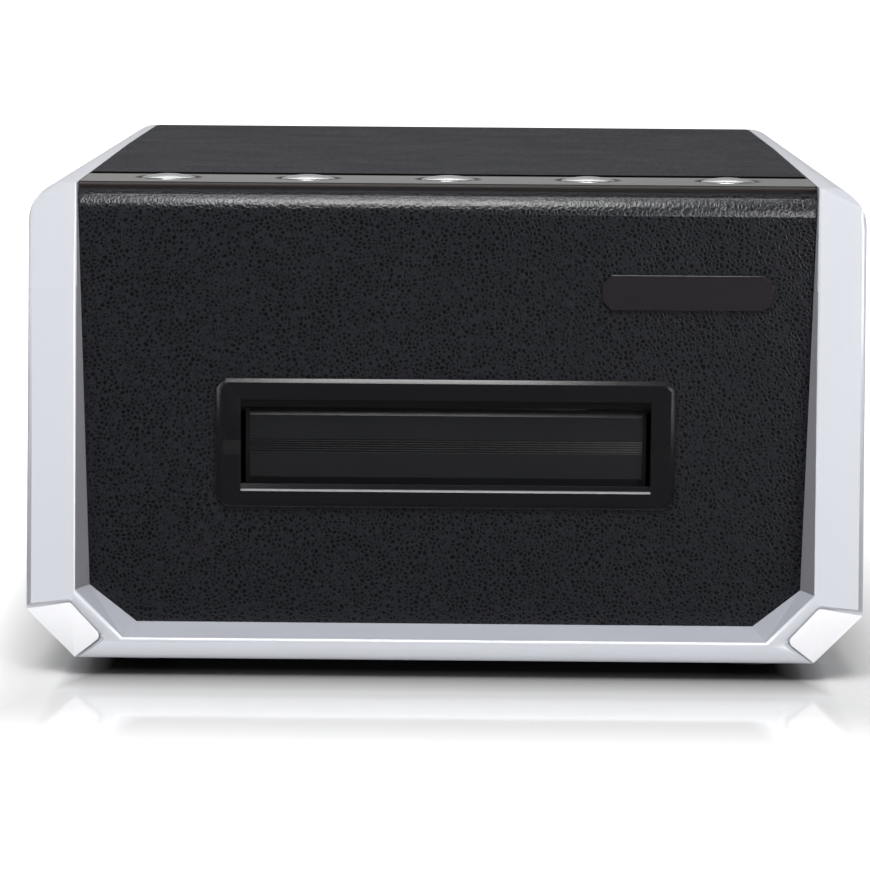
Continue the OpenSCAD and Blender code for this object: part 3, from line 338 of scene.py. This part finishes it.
def moulded(name, colour, roughness, grain=0.00004, grainSize=9000, wear=0.08, **more):
    # Plain finish with a fine grain, small changes of shade and of gloss
    material = newMaterial(name, colour, roughness, **more)
    place = objectPlace(material)
    cloud = noiseAt(material, place, *mouldedGrain["cloud"])
    tint(material, cloud, "Fac", shaded(colour, 1 - wear), shaded(colour, 1 + wear))
    roughenBy(material, cloud, roughness, *mouldedGrain["gloss"])
    if grain:
        fine = noiseAt(material, place, grainSize, mouldedGrain["detail"])
        addBump(material, fine, "Fac", mouldedGrain["bump"], grain)
    return material


# Finishes

silverPaint = {
    "colour": (0.485, 0.495, 0.535),
    "roughness": 0.36,
    "metallic": 0.15,
    "coat": 0.2,
    "coatRoughness": 0.25,
    "flake": (14000, 1.0),
    "flakeBump": (0.12, 0.00002),
    "cloud": (22.0, 4.0),
    "tone": (0.97, 1.03),
    "gloss": (0.9, 1.1),
}


def makeSilver(finish):
    material = newMaterial("silver paint", finish["colour"], finish["roughness"], finish["metallic"],
                           coat=finish["coat"], coatRoughness=finish["coatRoughness"])
    place = objectPlace(material)
    flake = noiseAt(material, place, *finish["flake"])
    cloud = noiseAt(material, place, *finish["cloud"])
    dark, light = (shaded(finish["colour"], share) for share in finish["tone"])
    tint(material, cloud, "Fac", dark, light)
    roughenBy(material, cloud, finish["roughness"], *finish["gloss"])
    addBump(material, flake, "Fac", *finish["flakeBump"])
    return material


leatherGrain = {
    "colour": (0.0006, 0.0007, 0.0011),
    "ridge": (0.0115, 0.012, 0.0155),
    "ridgeWidth": 0.27,
    "roughness": 0.25,
    "specular": 0.47,
    "cells": 1150,
    "height": 0.000028,
    "warp": (320.0, 2.0),
    "warpReach": 0.0007,
    "patch": (60.0, 3.0),
    "gloss": (0.85, 1.2),
}
# The top's folds are lighter and bluer, with less reflection: partly grain, partly a painted sky
# reflection
topGrainAndSheen = dict(leatherGrain, roughness=0.58, specular=0.15, height=0.0004, ridge=(0.016, 0.017, 0.026))


def makeLeather(name, finish):
    # Pebbled grain: dark rounded cells in a network of lighter folds
    material = newMaterial(name, finish["colour"], finish["roughness"], specular=finish["specular"])
    place = objectPlace(material)
    warp = noiseAt(material, place, *finish["warp"])
    shift = addNode(material, "ShaderNodeVectorMath", operation="MULTIPLY_ADD")
    shift.inputs[1].default_value = [finish["warpReach"]] * 3
    join(material, warp, "Color", shift, 0)
    join(material, place, "Vector", shift, 2)
    cells = addNode(material, "ShaderNodeTexVoronoi", feature="DISTANCE_TO_EDGE", Scale=finish["cells"])
    join(material, shift, "Vector", cells, "Vector")
    ridge = spread(material, cells, "Distance", 1.0, 0.0, 0.0, finish["ridgeWidth"])
    ridge.interpolation_type = "SMOOTHSTEP"
    tint(material, ridge, "Result", finish["colour"], finish["ridge"])
    patch = noiseAt(material, place, *finish["patch"])
    roughenBy(material, patch, finish["roughness"], *finish["gloss"])
    addBump(material, ridge, "Result", 1.0, finish["height"])
    return material


silver = makeSilver(silverPaint)
# Darker copies of the silver paint: painted shade for the walls of the opening and the slopes under the
# pads
mouthSideShade = moulded("silver paint beside the cover", (0.21, 0.21, 0.23), 0.4, grain=0.00002)
mouthFootShade = moulded("silver paint below the cover", (0.30, 0.31, 0.345), 0.4, grain=0.00002)
leather = makeLeather("black leather grain", leatherGrain)
topLeatherAndSheen = makeLeather("black leather grain of the top", topGrainAndSheen)
# The pads' paint is lighter than the silver: partly their own smoother finish, partly painted light for
# the brighter corner facets
padPaintLightened = moulded("corner pad", (0.60, 0.60, 0.62), 0.42, grain=0.00002)
stripGloss = moulded("polished strip", (0.014, 0.011, 0.010), 0.3,
                     grain=0, coat=0.25, coatRoughness=0.25)
# Darker copy of the strip's plastic for its rounded front edge: painted shade, together with a rougher,
# less reflective finish
stripLipShaded = moulded("strip edge with painted shade", (0.008, 0.005, 0.0045), 0.5, grain=0, specular=0.25)
buttonSilver = moulded("button silver", (0.42, 0.42, 0.425), 0.2, grain=0, metallic=1.0)
bezelBlack = moulded("bezel black", (0.004, 0.004, 0.005), 0.24, specular=0.45)
# Painted highlight: a light grey for the sloped edge under the window, where a glint shows
bezelGlint = moulded("bezel edge painted glint", (0.13, 0.13, 0.135), 0.3, grain=0)
doorBlack = moulded("door black", (0.006, 0.0063, 0.0073), 0.36, specular=0.35)
labelGloss = moulded("label plate", (0.012, 0.010, 0.013), 0.18,
                     grain=0, coat=0.5, coatRoughness=0.08)
rearBlack = moulded("rear panel black", (0.02, 0.02, 0.021), 0.5)
rubberBlack = moulded("foot rubber", (0.018, 0.018, 0.018), 0.75, grain=0.0001, grainSize=3000)
sheetSteel = moulded("zinc sheet", (0.52, 0.53, 0.55), 0.34, grain=0.00002, metallic=0.9)
shaftSteel = moulded("bright steel", (0.60, 0.60, 0.61), 0.22, grain=0, metallic=1.0)
bluedSteel = moulded("blackened steel", (0.02, 0.02, 0.022), 0.35, grain=0, metallic=0.4)
bushBrass = moulded("turned brass", (0.66, 0.46, 0.18), 0.3, grain=0, metallic=1.0)
gearNylon = moulded("ivory nylon", (0.72, 0.69, 0.58), 0.45)
boardGreen = moulded("board green", (0.02, 0.14, 0.06), 0.35)
motorBlack = moulded("motor paint", (0.035, 0.035, 0.038), 0.4)
plainBlack = moulded("plain black", (0.012, 0.012, 0.013), 0.5)
# Painted shadow: a flat black with no reflection, laid where the gap between the strip and the top
# leather lies in shade
paintedGapShadow = newMaterial("painted gap shadow", (0.003, 0.003, 0.003), 0.9, specular=0.0)
plainWhite = moulded("plain white", (0.72, 0.72, 0.70), 0.5)
lensGlass = newMaterial("lens glass", (0.85, 0.93, 0.93), 0.03)
shaderOf(lensGlass).inputs["Transmission Weight"].default_value = 0.9
mirrorGlass = moulded("front mirror", (0.88, 0.90, 0.92), 0.05, grain=0, wear=0.01, metallic=1.0)
slotFinish = {
    "silver": silver, "pad": padPaintLightened, "leather": leather, "strip": stripGloss,
    "button": buttonSilver, "bezel": bezelBlack, "label": labelGloss, "rear": rearBlack,
    "rubber": rubberBlack, "steel": sheetSteel, "shaft": shaftSteel, "blued": bluedSteel,
    "brass": bushBrass, "nylon": gearNylon, "board": boardGreen, "motor": motorBlack,
    "black": plainBlack, "white": plainWhite, "glass": lensGlass, "mirror": mirrorGlass,
}
for entry in frame["record"]["subparts"]:
    setMaterial(nodes[entry["node"]], slotFinish[entry["material_slot"]])
print("Finishes made")


# Housing

housingShape = {
    "lipLean": 0.0096,
    "lipWidth": 0.01005,
    "sill": 0.0043,
    "cornerCut": 0.0102,
    "openingCut": 0.0100,
    "shoulder": 0.008,
    "crown": 0.0007,
    "crownDepth": 0.00105,
    "outerRound": 0.0010,
    "footRound": 0.0012,
    "innerRound": 0.00055,
    "flatArea": 0.00005,
    "curvedBelow": 0.0125,
    "curvedTurn": 0.8,
    "smoothAngle": 30,
}
lipTests = {
    "faceTurn": 0.9,
    "onFace": 0.00002,
    "onEdge": 0.00004,
    "onCrown": 0.00008,
    "atGap": 0.00003,
    "atFoot": 0.00002,
    "sharp": 12,
}
mouth = {
    "rearY": -0.1193,
    "widen": 0.42,
    "wallFrom": 0.005,
    "wallTop": 0.0975,
}
flare = {
    "above": 0.092,
    "edgeX": (0.0772, 0.0779),
    "fromY": -0.1151,
    "bendY": 0.030,
    "toY": 0.1235,
    "middle": 0.0017,
    "rear": 0.0019,
}
housingLow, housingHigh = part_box("housing")
openingX = housingHigh[0] - housingShape["lipWidth"]
sillZ = housingLow[2] + housingShape["sill"]


def lipPlace(point):
    # Place on the leaning face of the lip: height along it and depth behind it
    height = housingHigh[2] - housingLow[2]
    lean = math.atan(housingShape["lipLean"] / height)
    y = point[1] - housingLow[1]
    z = point[2] - housingLow[2]
    return y * math.sin(lean) + z * math.cos(lean), y * math.cos(lean) - z * math.sin(lean)


def outlineGap(point):
    # Distance from the housing's outline, seen from the front
    shape = housingShape
    side = housingHigh[0] - abs(point[0])
    foot = point[2] - housingLow[2]
    gaps = [side, foot, (side + foot - shape["cornerCut"]) / math.sqrt(2)]
    across = shape["shoulder"] - side
    up = shape["shoulder"] - (housingHigh[2] - point[2])
    if across > 0 and up > 0:
        gaps.append(shape["shoulder"] - math.hypot(across, up))
    return max(min(gaps), 0)


def openingGap(point):
    # Distance from the front opening, along the lip
    shape = housingShape
    across = abs(point[0]) - openingX
    down = shape["sill"] - lipPlace(point)[0]
    return max(across, down, (across + down + shape["openingCut"]) / math.sqrt(2), 0)


def crownAt(point):
    # How far the lip's outer edge is set back: most at the foot, nothing above the corner facets
    low = 1 - (point[2] - housingLow[2]) / housingShape["cornerCut"]
    return housingShape["crown"] * min(max(low, 0), 1)


def crownLip(piece):
    # Sets the lip's lower edge back, so that the bottom rail slopes outwards
    for vertex in piece.data.vertices:
        if lipPlace(vertex.co)[1] < housingShape["crownDepth"]:
            outer = outlineGap(vertex.co)
            inner = openingGap(vertex.co)
            if outer + inner > 0:
                vertex.co.y += crownAt(vertex.co) * inner / (outer + inner)


def onLip(face):
    forward = -face.normal.y > lipTests["faceTurn"]
    return forward and abs(lipPlace(face.center)[1]) < lipTests["onFace"]


def cutMitres(piece):
    # Cuts the lip's face from its outer corners to the corners of the opening
    sideX = housingHigh[0]
    footZ = housingLow[2]
    outerCut = housingShape["cornerCut"]
    innerCut = housingShape["openingCut"]
    outerCorners = [(sideX, footZ + outerCut), (sideX - outerCut, footZ)]
    innerCorners = [(openingX, sillZ + innerCut), (openingX - innerCut, sillZ)]
    for side in (-1, 1):
        for outer, inner in zip(outerCorners, innerCorners):
            selectFaces(piece, onLip)
            bpy.ops.mesh.bisect(plane_co=(side * outer[0], 0, outer[1]),
                                plane_no=(side * (inner[1] - outer[1]), 0, outer[0] - inner[0]))
            leaveEdit()


def widenMouth(piece):
    # Draws the rear end of the opening's side walls inwards, for more slope
    lowest = sillZ + mouth["wallFrom"]
    for vertex in piece.data.vertices:
        point = vertex.co
        atRear = abs(point.y - mouth["rearY"]) < close
        onWall = abs(point.x) < openingX - close and lowest < point.z < mouth["wallTop"]
        if atRear and onWall:
            point.x -= math.copysign(mouth["widen"] * (openingX - abs(point.x)), point.x)


def flareTop(piece):
    # Draws the top cover's side edges outwards towards the rear, and the rails beside it with them
    cutAcross(piece, flare["bendY"])
    nearX, farX = flare["edgeX"]
    for vertex in piece.data.vertices:
        point = vertex.co
        if point.z > flare["above"] and nearX < abs(point.x) < farX:
            first = (point.y - flare["fromY"]) / (flare["bendY"] - flare["fromY"])
            second = (point.y - flare["bendY"]) / (flare["toY"] - flare["bendY"])
            move = flare["middle"] * min(max(first, 0), 1)
            move += (flare["rear"] - flare["middle"]) * min(max(second, 0), 1)
            point.x += math.copysign(move, point.x)


def onOutline(a, b, angle):
    # Edges of the lip's outline, at the crown's depth
    setBack = max(abs(lipPlace(p)[1] - crownAt(p)) for p in (a, b))
    away = max(outlineGap(a), outlineGap(b))
    return angle > lipTests["sharp"] and setBack < lipTests["onCrown"] and away < lipTests["atGap"]


def atFoot(a, b):
    return max(a.z, b.z) < housingLow[2] + lipTests["atFoot"]


def outerEdge(a, b, angle):
    return onOutline(a, b, angle) and not atFoot(a, b)


def footEdge(a, b, angle):
    return onOutline(a, b, angle) and atFoot(a, b)


def innerEdge(a, b, angle):
    # Edges of the opening, on the lip's face
    setBack = max(abs(lipPlace(p)[1]) for p in (a, b))
    away = max(openingGap(a), openingGap(b))
    return angle > lipTests["sharp"] and setBack < lipTests["onEdge"] and away < lipTests["atGap"]


def curvedRail(face):
    # The bottom rail and the corner facets, which the crown bends
    forward = -face.normal.y > housingShape["curvedTurn"]
    return forward and face.center.z < housingLow[2] + housingShape["curvedBelow"]


# Where the painted shade goes, inside the opening and under the pads
mouthShadeZones = {
    "top": 0.1,
    "depth": 0.0002,
    "inside": 0.00002,
    "wedgeX": (0.0712, 0.0775),
    "wedgeTop": 0.0082,
    "wedgeDepth": 0.0016,
    "wallTurn": 0.5,
    "sideTurn": 0.85,
    "wedgeTurn": (-0.97, -0.2),
}


def paintMouthShade(piece, side, foot):
    # Paints shade on the walls of the opening and on the slopes under the pads, as darker copies of the
    # same silver paint
    piece.data.materials.append(side)
    piece.data.materials.append(foot)
    wedgeIn, wedgeOut = mouthShadeZones["wedgeX"]
    turnMost, turnLeast = mouthShadeZones["wedgeTurn"]
    for face in piece.data.polygons:
        centre = face.center
        turn = face.normal
        depth = lipPlace(centre)[1]
        inside = abs(centre.x) < openingX - mouthShadeZones["inside"] and centre.z < mouthShadeZones["top"]
        ahead = depth > mouthShadeZones["depth"] and centre.y < mouth["rearY"]
        if inside and ahead and abs(turn.y) < mouthShadeZones["wallTurn"]:
            face.material_index = 1 if abs(turn.x) > mouthShadeZones["sideTurn"] else 2
        wedge = wedgeIn < abs(centre.x) < wedgeOut and centre.z < mouthShadeZones["wedgeTop"]
        sloped = turnMost < turn.y < turnLeast and turn.z > 0
        if wedge and sloped and abs(depth) < mouthShadeZones["wedgeDepth"]:
            face.material_index = 2


housing = copyNode("housing", "housing_shell")
widenMouth(housing)
flareTop(housing)
cutMitres(housing)
crownLip(housing)
print("Outer edges", roundEdges(housing, housingShape["outerRound"], 4, outerEdge))
print("Foot edges", roundEdges(housing, housingShape["footRound"], 4, footEdge))
print("Inner edges", roundEdges(housing, housingShape["innerRound"], 3, innerEdge))
keepFlat(housing, housingShape["flatArea"], curvedRail)
smoothFaces(housing, housingShape["smoothAngle"])
finishPiece(housing, "scanner", "silver", silver, "housing")
paintMouthShade(housing, mouthSideShade, mouthFootShade)
print("Housing shaped")

# Corner pads

padShape = {"grow": 0.0001, "inside": 0.0005, "edge": 0.0002}


def growPad(piece):
    # Draws the pad's inner edges closer to its pocket
    low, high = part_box(piece.name.replace("_face", ""))
    middleX = (low[0] + high[0]) / 2
    middleZ = (low[2] + high[2]) / 2
    for vertex in piece.data.vertices:
        if outlineGap(vertex.co) > padShape["inside"]:
            away = Vector((vertex.co.x - middleX, 0, vertex.co.z - middleZ)).normalized()
            vertex.co += padShape["grow"] * away


for side in ("left", "right"):
    pad = copyNode(f"corner_pad_{side}", f"corner_pad_face_{side}")
    crownLip(pad)
    growPad(pad)
    softenEdges(pad, padShape["edge"], angle=40)
    finishPiece(pad, "scanner", "pad", padPaintLightened, f"corner_pad_{side}")
print("Corner pads shaped")

# Covers

coverShape = {
    "top": 0.1027,
    "front": -0.0835,
    "edgeBack": 0.0025,
    "edgeTurn": 0.2,
    "edge": 0.0005,
}
frontCover = copyNode("front_cover", "front_leather")
softenEdges(frontCover, coverShape["edge"], 2, 30)
finishPiece(frontCover, "scanner", "leather", leather, "front_cover")

topCover = copyNode("top_cover", "top_leather")
for vertex in topCover.data.vertices:
    if vertex.co.z > coverShape["top"] and vertex.co.y < coverShape["front"]:
        vertex.co.y += coverShape["edgeBack"]
flareTop(topCover)
softenEdges(topCover, coverShape["edge"], 2, 30)
finishPiece(topCover, "scanner", "leather", topLeatherAndSheen, "top_cover")
# The top leather's front edge faces get the painted gap shadow
topCover.data.materials.append(paintedGapShadow)
edgeY = coverShape["front"] + coverShape["edgeBack"]
for face in topCover.data.polygons:
    if face.center.y < edgeY and -face.normal.y > coverShape["edgeTurn"]:
        face.material_index = 1
print("Covers shaped")

# Control strip and buttons

stripShape = {
    "edge": 0.0008,
    "edgeSharp": 60,
    "outlineSharp": 4,
    "lipDeep": 0.0016,
    "lipTurn": 0.1,
    "gap": 0.0035,
    "gapDeep": 0.0002,
}
buttonShape = {"domeLow": 0.8, "edge": 0.00035}
stripLow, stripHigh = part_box("control_strip")
stripTop = stripHigh[2]
shadowGapY = stripHigh[1] - stripShape["gap"]


def stripFront(a, b, angle):
    # The long upper edges of the strip
    lengthways = min(a.z, b.z) > stripTop - close and abs(a.y - b.y) < close
    return angle > stripShape["edgeSharp"] and lengthways


def stripOutline(a, b, angle):
    return angle > stripShape["outlineSharp"] and min(a.z, b.z) > stripTop - hair


strip = copyNode("control_strip", "button_strip")
roundEdges(strip, stripShape["edge"], 5, stripFront)
flareTop(strip)
cutAcross(strip, shadowGapY)
sharpenEdges(strip, stripOutline)
smoothFaces(strip)
finishPiece(strip, "scanner", "strip", stripGloss, "control_strip")
# The strip's rounded front edge gets its darker copy, which is painted shade
strip.data.materials.append(stripLipShaded)
# The strip's rear band gets the painted gap shadow
strip.data.materials.append(paintedGapShadow)
lipY = stripLow[1] + stripShape["lipDeep"]
for face in strip.data.polygons:
    if face.center.y < lipY and -face.normal.y > stripShape["lipTurn"]:
        face.material_index = 1
    elif face.center.y > shadowGapY and face.center.z > stripTop - stripShape["gapDeep"]:
        face.material_index = 2

firstButton = copyNode("button_1", "button_cap_1")
for vertex in firstButton.data.vertices:
    if vertex.co.z > stripTop:
        vertex.co.z = stripTop + buttonShape["domeLow"] * (vertex.co.z - stripTop)
softenEdges(firstButton, buttonShape["edge"], 4, 40)
buttonBodies = ["button_one", "button_two", "button_three", "button_four", "button_five"]
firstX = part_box("button_1")[0][0]
for i, body in enumerate(buttonBodies):
    if i == 0:
        cap = firstButton
    else:
        pick(firstButton)
        bpy.ops.object.duplicate()
        cap = bpy.context.object
        cap.name = f"button_cap_{i + 1}"
        cap.data.name = cap.name
        cap.location.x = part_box(f"button_{i + 1}")[0][0] - firstX
        bpy.ops.object.transform_apply(location=True, rotation=False, scale=False)
    finishPiece(cap, body, "button", buttonSilver, f"button_{i + 1}")
print("Control strip and buttons shaped")

# Slot

bezelShape = {
    "chamferBack": 0.0005,
    "chamferMore": 0.00025,
    "rimBand": 0.0015,
    "edge": 0.00015,
    "windowEdge": 0.0004,
    "windowAbove": 0.002,
    "glintTurn": 0.5,
}
doorShape = {"edge": 0.0001}
bezelLow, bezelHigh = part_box("slot_bezel")
bezelMiddle = (bezelLow[2] + bezelHigh[2]) / 2


def bezelFront(piece):
    return [v for v in piece.data.vertices if v.co.y < bezelLow[1] + hair]


def chamferBezel(piece, back, more):
    # Draws the step behind the bezel's face out to its rim, which leaves one sloped band
    stepY = bezelLow[1] + back
    ring = [v for v in piece.data.vertices if abs(v.co.y - stepY) < hair]
    rimX = max(v.co.x for v in ring)
    rimTop = max(v.co.z for v in ring)
    rimFoot = min(v.co.z for v in ring)
    for vertex in bezelFront(piece):
        if rimX - abs(vertex.co.x) < bezelShape["rimBand"]:
            vertex.co.x -= math.copysign(more, vertex.co.x)
        if min(rimTop - vertex.co.z, vertex.co.z - rimFoot) < bezelShape["rimBand"]:
            vertex.co.z -= math.copysign(more, vertex.co.z - (rimTop + rimFoot) / 2)
    rim = [v for v in ring if min(rimX - abs(v.co.x), rimTop - v.co.z, v.co.z - rimFoot) < hair]
    for vertex in ring:
        if vertex not in rim:
            nearest = min(rim, key=lambda v: (v.co - vertex.co).length)
            vertex.co = nearest.co.copy()
    openEdit(piece)
    bpy.ops.mesh.remove_doubles(threshold=weldGap)
    leaveEdit()


def breakWindowEdge(piece, width):
    # Slopes the long edge under the window
    cutAcross(piece, bezelLow[1] + width)
    front = bezelFront(piece)
    windowX = min(abs(v.co.x) for v in front)
    sides = [v for v in front if abs(v.co.x) < windowX + hair]
    windowFoot = min(v.co.z for v in sides)
    for vertex in sides:
        if vertex.co.z < windowFoot + hair:
            vertex.co.z -= width


bezel = copyNode("slot_bezel", "slot_frame")
chamferBezel(bezel, bezelShape["chamferBack"], bezelShape["chamferMore"])
breakWindowEdge(bezel, bezelShape["windowEdge"])
softenEdges(bezel, bezelShape["edge"], 2, 30)
finishPiece(bezel, "scanner", "bezel", bezelBlack, "slot_bezel")
# The sloped edge under the window gets the painted highlight
bezel.data.materials.append(bezelGlint)
for face in bezel.data.polygons:
    inLowerHalf = bezelLow[2] + bezelShape["windowAbove"] < face.center.z < bezelMiddle
    if inLowerHalf and min(-face.normal.y, face.normal.z) > bezelShape["glintTurn"]:
        face.material_index = 1

door = copyNode("slot_door", "slot_flap")
softenEdges(door, doorShape["edge"], 2)
finishPiece(door, "front_door", "bezel", doorBlack, "slot_door")
print("Slot shaped")

# Label plate

labelShape = {"edge": 0.0003, "flatArea": 0.0001}
label = copyNode("label_plate", "bare_label")
softenEdges(label, labelShape["edge"], angle=30, flat=labelShape["flatArea"])
finishPiece(label, "scanner", "label", labelGloss, "label_plate")
print("Label plate shaped")


# Floor, sky and lamps

studio = {
    "floorSize": 40,
    "floorColour": (0.74, 0.74, 0.745),
    "floorGloss": 0.08,
    "footX": 0.0735,
    "footY": 0.126,
    "sideways": 2.6,
    "shade": 0.05,
    "shadeFar": 0.88,
    "shadeFrom": -0.008,
    "shadeTo": 0.018,
    "lift": 1.0,
    "liftFrom": 0.025,
    "liftTo": 0.140,
    "frontGlow": 0.10,
    "rearGlow": 0.55,
    "glowFrom": -0.1,
    "glowTo": 0.2,
    "skyFront": 0.12,
    "skyRear": 0.53,
    "skyFrom": 0.25,
    "skyTo": 0.85,
    "skyRight": 0.8,
    "skyRightTo": 0.12,
    "lamps": [
        # name, place, aim, width, depth, power
        ("front", (-0.1, -0.82, 1.08), (0.0, -0.1, 0.08), 0.8, 0.6, 20),
        ("top", (0.0, -0.27, 1.3), (0.0, -0.1, 0.05), 1.3, 0.08, 5),
        ("key", (0.85, -1.2, 0.32), (0.0, -0.1, 0.05), 0.6, 0.6, 9.5),
        ("left", (-1.1, -0.6, 0.55), (0.0, -0.1, 0.05), 0.35, 0.6, 3),
        ("rear", (-0.05, 1.4, 1.0), (0.0, -0.1, 0.1), 0.8, 0.2, 1.4),
    ],
}


def addFloor(setup):
    # A glossy white floor with a painted shadow, darker beside the feet, and lifted to white further
    # out for the camera.
    # Mirrored in the scanner, it glows more towards the rear
    bpy.ops.mesh.primitive_plane_add(size=setup["floorSize"], location=(0, 0, 0))
    floor = bpy.context.object
    floor.name = "floor"
    material = newMaterial("floor white", setup["floorColour"], setup["floorGloss"])
    output = material.node_tree.nodes["Material Output"]
    rays = addNode(material, "ShaderNodeLightPath")
    place = addNode(material, "ShaderNodeTexCoord")
    parts = addNode(material, "ShaderNodeSeparateXYZ")
    join(material, place, "Object", parts, "Vector")
    reaches = []
    for axis, half, slope in (("X", setup["footX"], setup["sideways"]), ("Y", setup["footY"], 1)):
        size = addNode(material, "ShaderNodeMath", operation="ABSOLUTE")
        join(material, parts, axis, size, 0)
        beyond = addNode(material, "ShaderNodeMath", operation="MULTIPLY_ADD")
        beyond.inputs[1].default_value = slope
        beyond.inputs[2].default_value = -slope * half
        join(material, size, "Value", beyond, 0)
        reaches.append(beyond)
    reach = addNode(material, "ShaderNodeMath", operation="MAXIMUM")
    join(material, reaches[0], "Value", reach, 0)
    join(material, reaches[1], "Value", reach, 1)
    # Painted shadow: the floor's colour darkens towards the scanner's footprint, for every ray
    shade = spread(material, reach, "Value", setup["shade"], setup["shadeFar"],
                   setup["shadeFrom"], setup["shadeTo"])
    dark = addNode(material, "ShaderNodeBsdfDiffuse", Color=(0, 0, 0, 1))
    dimmed = addNode(material, "ShaderNodeMixShader")
    join(material, shade, "Result", dimmed, "Fac")
    join(material, dark, "BSDF", dimmed, 1)
    join(material, shaderOf(material), "BSDF", dimmed, 2)
    far = spread(material, reach, "Value", 0.0, setup["lift"], setup["liftFrom"], setup["liftTo"])
    far.interpolation_type = "SMOOTHSTEP"
    seen = addNode(material, "ShaderNodeMath", operation="MULTIPLY")
    join(material, rays, "Is Camera Ray", seen, 0)
    join(material, far, "Result", seen, 1)
    lift = addNode(material, "ShaderNodeEmission")
    join(material, seen, "Value", lift, "Strength")
    lifted = addNode(material, "ShaderNodeAddShader")
    join(material, dimmed, "Shader", lifted, 0)
    join(material, lift, "Emission", lifted, 1)
    glow = spread(material, parts, "Y", setup["frontGlow"], setup["rearGlow"],
                  setup["glowFrom"], setup["glowTo"])
    mirrored = addNode(material, "ShaderNodeEmission")
    join(material, glow, "Result", mirrored, "Strength")
    mixed = addNode(material, "ShaderNodeMixShader")
    join(material, rays, "Is Glossy Ray", mixed, "Fac")
    join(material, lifted, "Shader", mixed, 1)
    join(material, mirrored, "Emission", mixed, 2)
    join(material, mixed, "Shader", output, "Surface")
    setMaterial(floor, material)


def addSky(setup):
    # White for the camera, and brighter behind the scanner than in front of it
    world = bpy.data.worlds.new("sky")
    bpy.context.scene.world = world
    world.use_nodes = True
    background = world.node_tree.nodes["Background"]
    place = addNode(world, "ShaderNodeTexCoord")
    parts = addNode(world, "ShaderNodeSeparateXYZ")
    rays = addNode(world, "ShaderNodeLightPath")
    join(world, place, "Generated", parts, "Vector")
    rear = spread(world, parts, "Y", setup["skyFront"], setup["skyRear"],
                  setup["skyFrom"], setup["skyTo"])
    side = spread(world, parts, "X", 1.0, setup["skyRight"], 0.0, setup["skyRightTo"])
    both = addNode(world, "ShaderNodeMath", operation="MULTIPLY")
    join(world, rear, "Result", both, 0)
    join(world, side, "Result", both, 1)
    choice = addNode(world, "ShaderNodeMix", B=1.0)
    join(world, rays, "Is Camera Ray", choice, "Factor")
    join(world, both, "Value", choice, "A")
    join(world, choice, "Result", background, "Strength")
    background.inputs["Color"].default_value = (1, 1, 1, 1)


def addLamp(name, place, aim, width, depth, power):
    turn = (Vector(aim) - Vector(place)).to_track_quat("-Z", "Y")
    bpy.ops.object.light_add(type="AREA", location=place, rotation=turn.to_euler())
    lamp = bpy.context.object
    lamp.name = f"lamp {name}"
    lamp.data.shape = "RECTANGLE"
    lamp.data.size = width
    lamp.data.size_y = depth
    lamp.data.energy = power


deselectAll()
addFloor(studio)
addSky(studio)
for lamp in studio["lamps"]:
    addLamp(*lamp)
bpy.context.scene.view_settings.view_transform = "Standard"
print("Studio lit")
